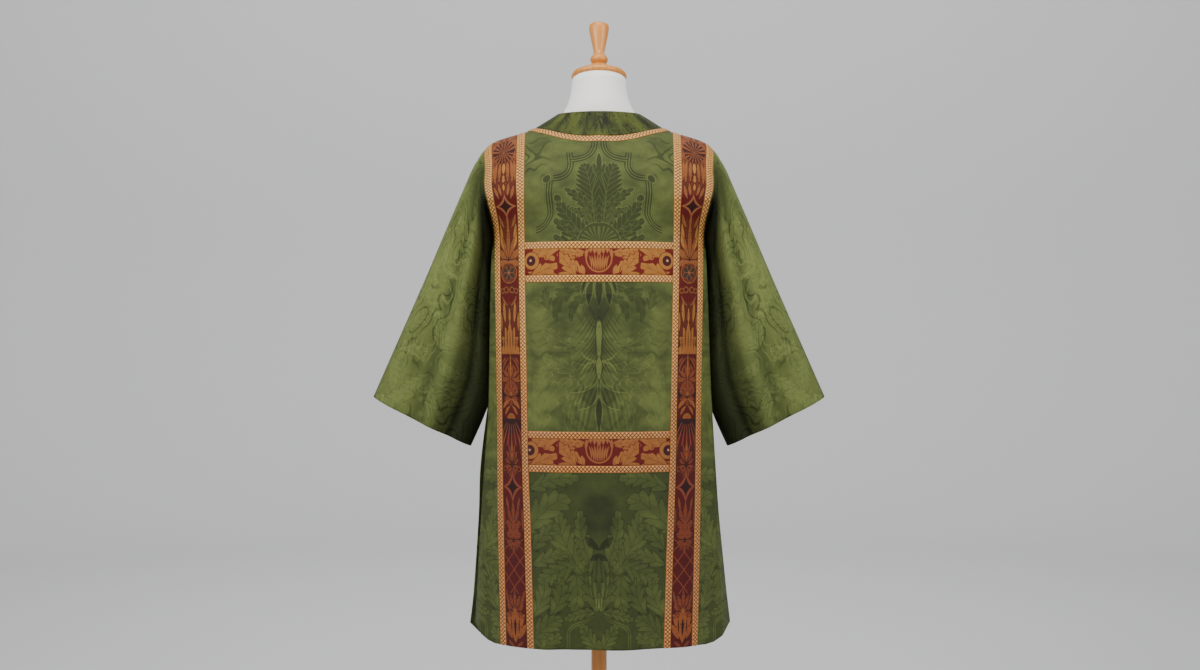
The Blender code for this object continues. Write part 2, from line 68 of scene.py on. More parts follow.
# How far along its line each point lies
def runAlong(points):
    steps = np.linalg.norm(np.diff(points, axis=-2), axis=-1)
    return np.concatenate([0 * steps[..., :1], np.cumsum(steps, axis=-1)], axis=-1)


# A smooth curve from start to stop, leaving and arriving at the given slopes
def glide(s, start, stop, leaving, arriving):
    ends = start * (1 - 3 * s**2 + 2 * s**3) + stop * (3 * s**2 - 2 * s**3)
    return ends + (leaving * (s**3 - 2 * s**2 + s) + arriving * (s**3 - s**2))


# A column of a table at any places between its rows
def read(rows, column, at, key="down"):
    keys, values = rows[key], rows[column]
    at = np.clip(np.asarray(at, dtype=float), keys[0], keys[-1])
    slopes = np.empty(len(keys))
    slopes[1:-1] = (values[2:] - values[:-2]) / (keys[2:] - keys[:-2])
    slopes[0] = (values[1] - values[0]) / (keys[1] - keys[0])
    slopes[-1] = (values[-1] - values[-2]) / (keys[-1] - keys[-2])
    low = np.clip(np.searchsorted(keys, at, side="right") - 1, 0, len(keys) - 2)
    span = keys[low + 1] - keys[low]
    leaving, arriving = slopes[low] * span, slopes[low + 1] * span
    return glide((at - keys[low]) / span, values[low], values[low + 1], leaving, arriving)


def ease(share):
    share = np.clip(share, 0.0, 1.0)
    return share * share * (3 - 2 * share)


# Cuts each stretch between the given places into so many equal steps
def split(places, steps):
    parts = [np.linspace(a, b, steps, endpoint=False) for a, b in zip(places, places[1:])]
    return np.append(np.concatenate(parts), places[-1])


# The garment's cut and hang, in metres; "down" is measured from the shoulder seam
cut = {
    "wall": 0.0020,
    "seamGap": 0.0003,
    "trimWall": 0.0012,
    "rimRound": 0.0006,
    "roof": 0.200,           # the shoulders' round ends here and the panels hang
    "roofCloth": 0.240,      # how much cloth the round takes
    "fieldTop": 0.180,
    "hem": 1.100,
    "bladeHeight": 1.330,
    "neckHalfWidth": 0.1335,
    "neckFall": 0.225,       # how far the round falls over the depth of the neckline
    "neckBraid": 0.0140,
    "neckBraidFlat": 0.0154,  # its width before it lies over the slope of the neck
    "collarTopHalfWidth": 0.0865,
    "collarSideHeight": 1.506,
    "cornerRadius": 0.055,
    "cornerSpan": 0.052,
    "cornerBlend": 0.120,
    "crossBraid": 0.0145,
    "crossBand": 0.0525,
    "seamReach": 0.100,
    "seamLead": 0.005,
}
halfWall = cut["wall"] / 2
hemDrop = {back: 0.000, front: 0.016}
neckDip = {back: 0.0985, front: 0.1240}
collarDepth = {back: 0.078, front: 0.086}
collarHeight = {back: 1.506, front: 1.484}
crossTop = {"upper": 0.291, "lower": 0.670}

armholeRows = (0, 0.030, 0.060, 0.090, 0.120, 0.150, 0.180, 0.205, 0.2285, 0.252, 0.275)

shoulderLine = table(
    "out height",
    (0.000, 1.505),
    (0.095, 1.489),
    (0.134, 1.477),
    (0.153, 1.469),
    (0.217, 1.448),
    (0.234, 1.435),
    (0.240, 1.430),
)

panelEdge = table(
    "down backLeft backRight frontLeft frontRight",
    (0.000, 0.2340, 0.2340, 0.2340, 0.2340),
    (0.059, 0.2375, 0.2375, 0.2375, 0.2375),
    (0.128, 0.2340, 0.2340, 0.2340, 0.2340),
    (0.172, 0.2345, 0.2345, 0.2345, 0.2345),
    (0.210, 0.2275, 0.2275, 0.2275, 0.2275),
    (0.251, 0.2195, 0.2195, 0.2195, 0.2195),
    (0.275, 0.2185, 0.2185, 0.2185, 0.2185),
    (0.327, 0.2215, 0.2205, 0.2200, 0.2205),
    (0.571, 0.2246, 0.2280, 0.2230, 0.2240),
    (0.637, 0.2262, 0.2315, 0.2340, 0.2265),
    (0.755, 0.2348, 0.2385, 0.2478, 0.2330),
    (0.850, 0.2407, 0.2450, 0.2510, 0.2400),
    (1.008, 0.2493, 0.2605, 0.2614, 0.2545),
    (1.100, 0.2525, 0.2675, 0.2690, 0.2610),
)

orphreyEdge = table(
    "down inner outer",
    (0.000, 0.1505, 0.2315),
    (0.059, 0.1503, 0.2348),
    (0.128, 0.1500, 0.2313),
    (0.172, 0.1497, 0.2317),
    (0.210, 0.1495, 0.2247),
    (0.251, 0.1492, 0.2165),
    (0.327, 0.1485, 0.2128),
    (0.571, 0.1437, 0.2075),
    (0.755, 0.1395, 0.2050),
    (0.850, 0.1353, 0.2037),
    (1.100, 0.1275, 0.1970),
)

# How far the middle and the edge of a hanging panel stand from the middle plane
hangSection = table(
    "down backMiddle backEdge frontMiddle frontEdge turn",
    (0.200, 0.125, 0.070, 0.130, 0.068, 2.50),
    (0.275, 0.130, 0.012, 0.139, 0.012, 2.70),
    (0.330, 0.133, 0.026, 0.143, 0.026, 2.50),
    (0.420, 0.139, 0.042, 0.148, 0.040, 2.35),
    (0.571, 0.149, 0.046, 0.154, 0.038, 2.30),
    (0.850, 0.160, 0.046, 0.166, 0.034, 2.50),
    (1.100, 0.171, 0.050, 0.176, 0.034, 2.60),
)

broadFolds = {
    back: table(
        "xTop xHem start halfWidth depth",
        (-0.226, -0.240, 0.36, 0.010, 0.008),
        (-0.100, -0.116, 0.72, 0.034, 0.007),
        (-0.040, -0.048, 0.40, 0.040, -0.005),
        (0.032, 0.044, 0.66, 0.036, 0.006),
        (0.098, 0.112, 0.52, 0.034, -0.006),
        (0.222, 0.247, 0.36, 0.010, 0.008),
    ),
    front: table(
        "xTop xHem start halfWidth depth",
        (-0.224, -0.250, 0.50, 0.014, 0.006),
        (-0.092, -0.110, 0.50, 0.036, -0.006),
        (-0.028, -0.036, 0.62, 0.040, 0.008),
        (0.050, 0.060, 0.42, 0.038, -0.006),
        (0.106, 0.122, 0.70, 0.034, 0.007),
        (0.220, 0.244, 0.52, 0.013, 0.005),
    ),
}

# A sleeve along its length: its upper and its inner fold line, and its half depth there
sleeveForm = table(
    "along upperX upperZ innerX innerZ upperDepth innerDepth",
    (0.000, 0.2365, 1.4350, 0.2185, 1.2430, 0.070, 0.040),
    (0.060, 0.2560, 1.4050, 0.2215, 1.2150, 0.072, 0.034),
    (0.136, 0.2740, 1.3650, 0.2235, 1.1850, 0.066, 0.030),
    (0.300, 0.3105, 1.2810, 0.2205, 1.1200, 0.060, 0.030),
    (0.500, 0.3550, 1.1760, 0.2190, 1.0400, 0.064, 0.036),
    (0.750, 0.4105, 1.0500, 0.2210, 0.9400, 0.072, 0.042),
    (0.900, 0.4438, 0.9745, 0.2385, 0.8850, 0.070, 0.046),
    (1.000, 0.4660, 0.9240, 0.2660, 0.8230, 0.064, 0.046),
)

sleeveRidges = table(
    "atTop atCuff start halfWidth depth",
    (0.20, 0.24, 0.16, 0.09, 0.004),
    (0.34, 0.42, 0.06, 0.07, -0.008),
    (0.48, 0.56, 0.05, 0.06, 0.009),
    (0.64, 0.70, 0.02, 0.05, -0.012),
    (0.80, 0.84, 0.02, 0.05, 0.003),
)

# The small unevenness of cloth that hangs: how deep, and how many folds to the metre
softFolds = {
    "hangDepth": 0.0012,
    "hangRate": 61,
    "shoulderDepth": 0.0008,
    "shoulderRate": 95,
    "sleeveDepth": 0.0012,
    "collarDepth": 0.00128,
    "phase": {back: 1.3, front: 4.1},
}


def edgeOut(side, x, down):
    left = read(panelEdge, sideNames[side] + "Left", down)
    right = read(panelEdge, sideNames[side] + "Right", down)
    return np.where(np.asarray(x) < 0, left, right)


def broadFoldDepth(side, x, down):
    folds = broadFolds[side]
    out = 0.0
    for i, start in enumerate(folds["start"]):
        share = ease((down - start) / (cut["hem"] - start))
        middle = blend(folds["xTop"][i], folds["xHem"][i], share)
        away = (x - middle) / folds["halfWidth"][i]
        out = out + folds["depth"][i] * share * np.exp(-away * away)
    return out


def softFoldDepth(side, x, down):
    phase, rate = softFolds["phase"][side], softFolds["hangRate"]
    drift = x + 0.012 * np.sin(5.1 * down + phase)
    hang = np.sin(rate * drift + phase) * np.sin(3.1 * down + 0.6 * rate * drift + phase)
    hang = hang + 0.6 * np.sin(1.85 * rate * drift - 2.2 * down + 2 * phase)
    rays = np.sin(softFolds["shoulderRate"] * (np.abs(x) - 0.55 * down) + phase)
    rays = rays * np.exp(-(((down - 0.20) / 0.09) ** 2)) * ease((np.abs(x) - 0.03) / 0.1)
    out = softFolds["hangDepth"] * ease((down - 0.25) / 0.6) * hang
    return (out + softFolds["shoulderDepth"] * rays) * ease(down / 0.10)


# Points of the front or back panel, x out from its middle and so far down
def panelPoint(side, x, down):
    x, down = np.broadcast_arrays(np.asarray(x, dtype=float), np.asarray(down, dtype=float))
    hang = np.maximum(down, cut["roof"])
    middle = read(hangSection, sideNames[side] + "Middle", hang)
    edge = read(hangSection, sideNames[side] + "Edge", hang)
    share = np.abs(x) / edgeOut(side, x, hang)
    depth = blend(middle, edge, share ** read(hangSection, "turn", hang))
    turn = math.pi / 2 * np.minimum(down / cut["roof"], 1)
    ridge = read(shoulderLine, "height", np.abs(x), key="out")
    roofZ = blend(cut["bladeHeight"], ridge, np.cos(turn))
    z = np.where(down < cut["roof"], roofZ, cut["bladeHeight"] - (down - cut["roof"]))
    folds = broadFoldDepth(side, x, down) + softFoldDepth(side, x, down)
    return joined(x, side * (depth * np.sin(turn) + folds), z)


# How far down a point comes to lie once the hem's corners are rounded
def hemDown(side, x, down):
    start = edgeOut(side, x, cut["hem"]) - cut["cornerSpan"]
    run = np.clip(np.abs(x) - start, 0.0, cut["cornerSpan"])
    rise = cut["cornerRadius"] - np.sqrt(cut["cornerRadius"] ** 2 - run**2) - hemDrop[side]
    return down - rise * ease((down - (cut["hem"] - cut["cornerBlend"])) / cut["cornerBlend"])


# Where a point lies on the flat cloth, from the panel's middle and the shoulder seam
def panelPattern(side, x, down):
    x, down = np.broadcast_arrays(np.asarray(x, dtype=float), np.asarray(down, dtype=float))
    xs = x[..., None] * np.linspace(0, 1, panelMesh["widthChords"] + 1)
    points = panelPoint(side, xs, np.maximum(down, cut["roof"])[..., None] + 0 * xs)
    across = np.hypot(np.diff(points[..., 0]), np.diff(points[..., 1])).sum(axis=-1)
    run = np.where(down < cut["roof"], down * cut["roofCloth"] / cut["roof"],
                   down + cut["roofCloth"] - cut["roof"])
    return joined(np.sign(x) * across, run)


# Thin closed shells of cloth

sameWithin = 1e-6        # points nearer than this are one


# Joins grids of points into one set of points and four-sided faces
def joinGrids(grids):
    places = np.concatenate([grid["points"].reshape(-1, 3) for grid in grids])
    patterns = np.concatenate([grid["pattern"].reshape(-1, 2) for grid in grids])
    lifts = np.concatenate([np.broadcast_to(grid.get("lift", 1.0), grid["points"].shape[:2]).ravel()
                            for grid in grids])
    keys = np.round(places / sameWithin).astype(np.int64)
    _, first, index = np.unique(keys, axis=0, return_index=True, return_inverse=True)
    index = index.ravel()
    quads = []
    start = 0
    for grid in grids:
        rows, columns = grid["points"].shape[:2]
        at = start + np.arange(rows * columns).reshape(rows, columns)
        corners = [at[:-1, :-1], at[1:, :-1], at[1:, 1:], at[:-1, 1:]]
        if grid.get("flip"):
            corners.reverse()
        quad = np.stack([corner.ravel() for corner in corners], axis=-1)
        keep = grid.get("keep")
        quads.append(quad if keep is None else quad[keep.ravel()])
        start += rows * columns
    quads = np.concatenate(quads)
    return places[first], lifts[first], index[quads], patterns[quads]


def pointNormals(places, quads):
    a, b, c, d = (places[quads[:, i]] for i in range(4))
    faceNormals = unit(np.cross(c - a, d - b))
    normals = np.zeros_like(places)
    for i in range(4):
        np.add.at(normals, quads[:, i], faceNormals)
    return unit(normals)


# A closed shell from low to high above its grids, with softly rounded rims
def makeShell(name, grids, material, low=-halfWall, high=halfWall):
    places, lifts, quads, patterns = joinGrids(grids)
    normals = pointNormals(places, quads)
    count = len(places)
    edges = np.concatenate([quads[:, [i, (i + 1) % 4]] for i in range(4)])
    uvs = np.concatenate([patterns[:, [i, (i + 1) % 4]] for i in range(4)])
    owner = np.tile(np.arange(len(quads)), 4)
    codes = edges[:, 0].astype(np.int64) * count + edges[:, 1]
    twins = edges[:, 1].astype(np.int64) * count + edges[:, 0]
    isRim = ~np.isin(codes, twins)
    rim, rimUvs, rimOwner = edges[isRim], uvs[isRim], owner[isRim]
    middles = places[quads[rimOwner]].mean(axis=1)
    along = places[rim[:, 1]] - places[rim[:, 0]]
    pull = middles - places[rim].mean(axis=1)
    pull = unit(pull - along * ((pull * along).sum(1) / (along * along).sum(1))[:, None])
    pulls = np.zeros_like(places)
    for i in range(2):
        np.add.at(pulls, rim[:, i], pull)
    pulls = unit(pulls)
    rimPoints = np.unique(rim)
    spread = low + (high - low) * lifts
    inset = pulls * (cut["seamGap"] / 2)
    softer = pulls * (cut["seamGap"] / 2 + cut["rimRound"])
    outer = places + softer + normals * spread[:, None]
    inner = places + softer + normals * low
    rimPlaces = places[rimPoints] + inset[rimPoints]
    rimPlaces = rimPlaces + normals[rimPoints] * ((low + spread[rimPoints]) / 2)[:, None]
    rimIndex = np.zeros(count, dtype=np.int64)
    rimIndex[rimPoints] = 2 * count + np.arange(len(rimPoints))
    a, b = rim[:, 0], rim[:, 1]
    faces = np.concatenate([
        quads,
        quads[:, ::-1] + count,
        np.stack([b, a, rimIndex[a], rimIndex[b]], axis=-1),
        np.stack([rimIndex[b], rimIndex[a], a + count, b + count], axis=-1),
    ])
    rimUvs = rimUvs[:, [1, 0, 0, 1]]
    faceUvs = np.concatenate([patterns, patterns[:, ::-1], rimUvs, rimUvs])
    points = np.concatenate([outer, inner, rimPlaces])
    return meshPiece(name, points, faces.tolist(), material, faceUvs)


def stand(name, data):
    made = bpy.data.objects.new(name, data)
    bpy.context.scene.collection.objects.link(made)
    return made


def meshPiece(name, points, faces, material, faceUvs=None):
    mesh = bpy.data.meshes.new(name)
    mesh.from_pydata(points.reshape(-1, 3).tolist(), [], faces)
    if faceUvs is not None:
        layer = mesh.uv_layers.new(name="cloth")
        layer.data.foreach_set("uv", faceUvs.reshape(-1).astype(np.float32))
    mesh.materials.append(material)
    mesh.shade_smooth()
    mesh.update()
    return stand(name, mesh)


# Front and back panels

panelMesh = {
    "rowStep": 0.0055,       # metres between rows of points
    "armholeSteps": 5,       # rows between two places of the armhole
    "edgeColumns": 4,
    "orphreyColumns": 16,
    "fieldColumns": 60,
    "yokeRings": 15,
    "neckBraidRings": 4,
    "widthChords": 16,       # chords by which a place on the flat cloth is measured
}


def rowsBetween(start, stop):
    steps = max(2, round((stop - start) / panelMesh["rowStep"]))
    return np.linspace(start, stop, steps + 1)


def panelRows():
    upper = split(armholeRows, panelMesh["armholeSteps"])
    return np.append(upper, rowsBetween(armholeRows[-1], cut["hem"])[1:])


def panelColumns(side, down):
    inner = read(orphreyEdge, "inner", down)
    outer = read(orphreyEdge, "outer", down)

    def half(hand):
        edge = edgeOut(side, hand * 1.0, down)
        band = blend(inner, outer, np.linspace(0, 1, panelMesh["orphreyColumns"] + 1))
        strip = blend(outer, edge, np.linspace(0, 1, panelMesh["edgeColumns"] + 1))
        return np.append(band, strip[1:])

    field = inner * np.linspace(-1, 1, panelMesh["fieldColumns"] + 1)
    return np.concatenate([-half(-1)[::-1], field[1:-1], half(1)])


def panelGrid(side, xs, downs, **extra):
    return {
        "points": panelPoint(side, xs, downs),
        "pattern": panelPattern(side, xs, downs),
        "flip": side == front,
        **extra,
    }


# The neckline, or a line so far outside it, from the left shoulder to the right
def neckRing(side, grow):
    count = len(yokeOutline(side)[0]) - 1
    dip = neckDip[side] + grow * cut["roof"] / cut["neckFall"]
    turn = math.pi * (1 - np.arange(count + 1) / count)
    return (cut["neckHalfWidth"] + grow) * np.cos(turn), dip * np.sin(turn)


# Lines from the neckline to the outer edge of its braid
def neckBraidLines(side, steps):
    shares = np.linspace(0, 1, steps + 1)[:, None]
    lines = zip(neckRing(side, 0), neckRing(side, cut["neckBraid"]))
    return [blend(near, far, shares) for near, far in lines]


def yokeOutline(side):
    rows = panelRows()
    rows = rows[rows < cut["fieldTop"] + sameWithin]
    inner = read(orphreyEdge, "inner", rows)
    across = inner[-1] * np.linspace(-1, 1, panelMesh["fieldColumns"] + 1)[1:-1]
    xs = np.concatenate([-inner, across, inner[::-1]])
    downs = np.concatenate([rows, np.full(len(across), cut["fieldTop"]), rows[::-1]])
    return xs, downs


def makePanel(side, material):
    rows = panelRows()
    xs = np.array([panelColumns(side, down) for down in rows])
    downs = hemDown(side, xs, np.broadcast_to(rows[:, None], xs.shape))
    firstField = panelMesh["edgeColumns"] + panelMesh["orphreyColumns"]
    columns = np.arange(xs.shape[1] - 1)
    inField = (columns >= firstField) & (columns < firstField + panelMesh["fieldColumns"])
    inYoke = rows[:-1, None] < cut["fieldTop"] - sameWithin
    grids = [panelGrid(side, xs, downs, keep=~(inField[None, :] & inYoke))]
    lines = neckBraidLines(side, panelMesh["neckBraidRings"])
    shares = np.linspace(0, 1, panelMesh["yokeRings"] + 1)[:, None]
    rings = zip(lines, neckRing(side, cut["neckBraid"]), yokeOutline(side))
    rings = [np.concatenate([line[:-1], blend(near, far, shares)]) for line, near, far in rings]
    grids.append(panelGrid(side, *rings))
    return makeShell(sideNames[side] + "_panel_cloth", grids, material)


# Orphreys, crosspieces and braids, sewn on the panels

# The share of an orphrey's width that each strip takes
orphreySplit = {"braid_inner": (0, 0.21), "band": (0.21, 0.81), "braid_outer": (0.81, 1)}
crossParts = ("braid_top", "band", "braid_bottom")
crossColumns = 64
trimLow = halfWall + cut["seamGap"]

# Steps across a strip, and its thickness at the long edges as a share of the middle's
trimForm = {
    "band": (14, 0.45),
    "braid": (8, 0.35),
}


def kindOf(part):
    return part.split("_")[0]


# Thickness across a strip: full along its middle, less at both edges
def crowned(part):
    steps, rim = trimForm[kindOf(part)]
    place = np.linspace(-1, 1, steps + 1)
    return blend(rim, 1, (1 - place**4) ** 0.5)


def makeTrim(name, grid, material):
    return makeShell(name + "_cloth", [grid], material, trimLow, trimLow + cut["trimWall"]), name


def makeOrphreyPart(side, hand, part, material):
    rows = panelRows()
    start, stop = orphreySplit[part]
    shares = blend(start, stop, np.linspace(0, 1, trimForm[kindOf(part)][0] + 1)[::hand])
    inner = read(orphreyEdge, "inner", rows)[:, None]
    outer = read(orphreyEdge, "outer", rows)[:, None]
    xs = hand * blend(inner, outer, shares)
    downs = hemDown(side, xs, np.broadcast_to(rows[:, None], xs.shape))
    grid = panelGrid(side, xs, downs, lift=crowned(part)[None, :])
    across, run = grid["pattern"][..., 0], grid["pattern"][..., 1]
    width = np.abs(across[:, -1] - across[:, 0])
    level = (across - across[:, :1]) / (across[:, -1:] - across[:, :1]) - 0.5
    grid["pattern"] = joined(level * hand * width.mean(), run)
    return makeTrim(f"{sideNames[side]}_orphrey_{handNames[hand]}_{part}", grid, material)


def makeCrossPart(side, level, part, material):
    breadths = [cut["crossBraid"], cut["crossBand"], cut["crossBraid"]]
    place = crossParts.index(part)
    start = crossTop[level] + sum(breadths[:place])
    stop = start + breadths[place]
    rows = np.linspace(start, stop, trimForm[kindOf(part)][0] + 1)[:, None]
    xs = read(orphreyEdge, "inner", rows) * np.linspace(-1, 1, crossColumns + 1)
    grid = panelGrid(side, xs, rows, lift=crowned(part)[:, None])
    down, along = rows - (start + stop) / 2, grid["pattern"][..., 0]
    grid["pattern"] = joined(along, down) if part == "band" else joined(down, along)
    return makeTrim(f"{sideNames[side]}_cross_{level}_{part}", grid, material)


def makeNeckBraid(side, material):
    steps = trimForm["braid"][0]
    grid = panelGrid(side, *neckBraidLines(side, steps), lift=crowned("braid")[:, None])
    run = runAlong(grid["points"][steps // 2])
    across = (np.linspace(0, 1, steps + 1)[:, None] - 0.5) * cut["neckBraidFlat"]
    grid["pattern"] = joined(across, run - run[-1] / 2)
    return makeTrim(sideNames[side] + "_neck_braid", grid, material)


# Sleeves

sleeveMesh = {
    "seamSteps": 7,          # rows between the armhole seam and the free sleeve
    "freeFrom": 0.045,
    "rows": 120,
    "length": 0.560,
    "ridgeRise": 0.22,       # share of the length over which a ridge reaches its full depth
}


def sleeveRidgeDepth(place, along):
    out = 0.0
    ridges = sleeveRidges
    for i, start in enumerate(ridges["start"]):
        share = ease((along - start) / sleeveMesh["ridgeRise"])
        middle = blend(ridges["atTop"][i], ridges["atCuff"][i], along)
        away = (place - middle) / ridges["halfWidth"][i]
        out = out + ridges["depth"][i] * share * np.exp(-away * away)
    small = np.sin(21 * (place - 0.09 * along) + 1.1) * np.sin(5 * along + 9 * place)
    small = small + 0.5 * np.sin(39 * (place - 0.07 * along) + 0.4)
    return out + softFolds["sleeveDepth"] * small * ease((along - 0.08) / 0.3)


def sleeveSection(hand, half, place, along):
    row = {name: read(sleeveForm, name, along, key="along") for name in sleeveForm}
    turn = math.pi * place
    across = (1 - np.cos(turn)) / 2
    parts = ("X", "Z", "Depth")
    x, z, depth = [blend(row["upper" + part], row["inner" + part], across) for part in parts]
    out = np.sin(turn) * (depth + sleeveRidgeDepth(place, along))
    return joined(hand * x, half * out, z)


# The armhole seam from the shoulder to the underarm, and the way the cloth runs on past it
def armholeSeam(hand, half):
    rows = split(armholeRows, panelMesh["armholeSteps"])
    edge = hand * edgeOut(half, hand * 1.0, rows)
    seam = panelPoint(half, edge, rows)
    onward = seam - panelPoint(half, edge - hand * cut["seamLead"], rows)
    low = seam[-1]
    drop = low[2] - sleeveForm["innerZ"][0]
    turn = np.linspace(0, math.pi / 2, panelMesh["armholeSteps"] + 1)[1:, None]
    arc = [0 * turn + low[0], low[1] * np.cos(turn), low[2] - drop * np.sin(turn)]
    arc = np.concatenate(arc, axis=1)
    fade = np.cos(turn) * [0, 1, 0] + [1, 0, 1]
    return np.concatenate([seam, arc]), unit(np.concatenate([onward, onward[-1] * fade]))


def makeSleeve(hand, material):
    grids = []
    for half in (back, front):
        seam, onward = armholeSeam(hand, half)
        place = np.linspace(0, 1, len(seam))
        drift = seam - sleeveSection(hand, half, place, 0.0)

        def ring(along):
            pull = 1 - ease(along / cut["seamReach"])
            return sleeveSection(hand, half, place, along) + drift * pull

        free = np.linspace(sleeveMesh["freeFrom"], 1, sleeveMesh["rows"] + 1)
        first = ring(free[0])
        reach = np.linalg.norm(first - seam, axis=1, keepdims=True)
        ahead = unit(ring(free[0] + 0.01) - first)
        starts = np.linspace(0, 1, sleeveMesh["seamSteps"] + 1)[:-1]
        rows = [glide(s, seam, first, onward * reach, ahead * reach) for s in starts]
        points = np.stack(rows + [ring(along) for along in free])
        alongs = np.append(starts * free[0], free)
        pattern = joined(runAlong(points) * half, alongs[:, None] * sleeveMesh["length"])
        grids.append({"points": points, "pattern": pattern, "flip": hand * half > 0})
    name = "sleeve_" + handNames[hand]
    return makeShell(name + "_cloth", grids, material), name


# The standing collar

collarForm = {
    "rows": 14,
    "creases": 11,           # soft upright creases in each half
    "unevenness": 0.55,
}


def makeCollar(material):
    grids = []
    for side in (back, front):
        x, down = neckRing(side, 0)
        base = panelPoint(side, x, down)
        cosine = x / cut["neckHalfWidth"]
        sine = np.sqrt(np.maximum(1 - cosine * cosine, 0))
        height = blend(cut["collarSideHeight"], collarHeight[side], ease(sine))
        top = joined(cut["collarTopHalfWidth"] * cosine, side * collarDepth[side] * sine, height)
        share = np.linspace(0, 1, collarForm["rows"] + 1)[::-1, None, None]
        points = blend(base, top, share)
        outward = unit(points * [1, 1, 0])
        turn = np.arange(len(x)) / (len(x) - 1)
        uneven = 1 + collarForm["unevenness"] * np.sin(9.2 * turn + side)
        wave = np.sin(2 * math.pi * collarForm["creases"] * turn + 2.1 * np.sin(5 * turn + side))
        wave = wave * uneven * np.sin(math.pi * turn) ** 0.5
        swell = np.sin(math.pi * share) * softFolds["collarDepth"]
        points = points + outward * wave[None, :, None] * swell
        run = runAlong(base)
        tall = (1 - share[:, :, 0]) * np.linalg.norm(top - base, axis=1)
        pattern = joined(run - run[-1] / 2, tall)
        grids.append({"points": points, "pattern": pattern, "flip": side == front})
    return makeShell("collar_cloth", grids, material)


# Dress form and stand

formShape = {
    "sides": 96,
    "stepsBetween": 3,
    "clearance": 0.0022,     # below the cloth's middle surface at the shoulders
    "clothReach": 0.96,      # how far out the shoulders' round is taken to reach
    "underCloth": (1.33, 1.473),
    "firstNeckRing": 15,     # from here up the rings are joined by smooth curves
    "neckTop": 1.579,
    "capTilt": math.radians(13),
    "bottom": 0.800,
    "poleRadius": 0.016,
    "baseRadius": 0.195,
    "baseBossTop": 0.052,
    "gap": 0.0003,
}

# Level rings; slant is how much of the neck top's slope a ring follows
formRings = table(
    "height halfWidth halfDepth power slant",
    (0.8000, 0.1480, 0.1040, 2.30, 0),
    (0.8400, 0.1630, 0.1140, 2.30, 0),
    (0.9000, 0.1670, 0.1170, 2.30, 0),
    (0.9800, 0.1540, 0.1080, 2.30, 0),
    (1.0600, 0.1390, 0.0990, 2.30, 0),
    (1.1500, 0.1490, 0.1060, 2.30, 0),
    (1.2400, 0.1670, 0.1140, 2.30, 0),
    (1.3200, 0.1810, 0.1120, 2.30, 0),
    (1.3800, 0.1900, 0.0990, 2.10, 0),
    (1.4250, 0.1950, 0.0800, 1.80, 0),
    (1.4460, 0.1910, 0.0680, 1.60, 0),
    (1.4600, 0.1755, 0.0600, 1.45, 0),
    (1.4628, 0.1675, 0.0590, 1.45, 0),
    (1.4685, 0.1505, 0.0580, 1.45, 0),
    (1.4745, 0.1335, 0.0610, 1.55, 0),
    (1.4835, 0.1120, 0.0620, 1.70, 0),
    (1.4930, 0.0940, 0.0630, 1.80, 0),
    (1.5050, 0.0790, 0.0640, 1.90, 0),
    (1.5250, 0.0665, 0.0630, 2.00, 0),
    (1.5500, 0.0590, 0.0590, 2.00, 0.4),
    (1.5787, 0.0555, 0.0555, 2.00, 1),
)


# How high the cloth lies over a place on the shoulders
def clothHeight(x, y):
    depth = np.where(y < 0, hangSection["backMiddle"][0], hangSection["frontMiddle"][0])
    sine = np.clip(np.abs(y) / (depth * formShape["clothReach"]), 0, 1)
    ridge = read(shoulderLine, "height", np.abs(x), key="out")
    return blend(cut["bladeHeight"], ridge, np.sqrt(1 - sine**2))


def makeForm(material):
    index = np.arange(len(formRings["height"]), dtype=float)
    rings = dict(formRings, index=index)
    at = split(index, formShape["stepsBetween"])
    turn = 2 * math.pi * np.arange(formShape["sides"]) / formShape["sides"]
    low = np.minimum(at.astype(int), len(index) - 2)
    share = at - low
    rows = {name: blend(rings[name][low], rings[name][low + 1], share) for name in formRings}
    neck = at > formShape["firstNeckRing"]
    for name in formRings:
        rows[name][neck] = read(rings, name, at[neck], key="index")
    power = rows["power"][:, None]
    x = np.sign(np.cos(turn)) * np.abs(np.cos(turn)) ** (2 / power) * rows["halfWidth"][:, None]
    y = np.sign(np.sin(turn)) * np.abs(np.sin(turn)) ** (2 / power) * rows["halfDepth"][:, None]
    z = rows["height"][:, None] - rows["slant"][:, None] * y * math.tan(formShape["capTilt"])
    lowest, highest = formShape["underCloth"]
    isUnder = (rows["height"][:, None] < highest) & (rows["height"][:, None] > lowest)
    z = np.where(isUnder, np.minimum(z, clothHeight(x, y) - formShape["clearance"]), z)
    points = joined(x, y, z)
    rowCount, sides = points.shape[:2]
    grid = np.arange(rowCount * sides).reshape(rowCount, sides)
    ahead = np.roll(grid, -1, axis=1)
    quads = np.stack([grid[:-1], ahead[:-1], ahead[1:], grid[1:]], axis=-1).reshape(-1, 4)
    faces = quads.tolist() + [grid[0, ::-1].tolist(), grid[-1].tolist()]
    piece = meshPiece("form_torso_cover", points, faces, material)
    for face in piece.data.polygons[-2:]:
        face.use_smooth = False
    return piece


turning = {
    "sides": 96,
    "axis": 0.0005,          # radius of the last ring, as near the middle as it gets
    "sharpFrom": math.radians(38),
}


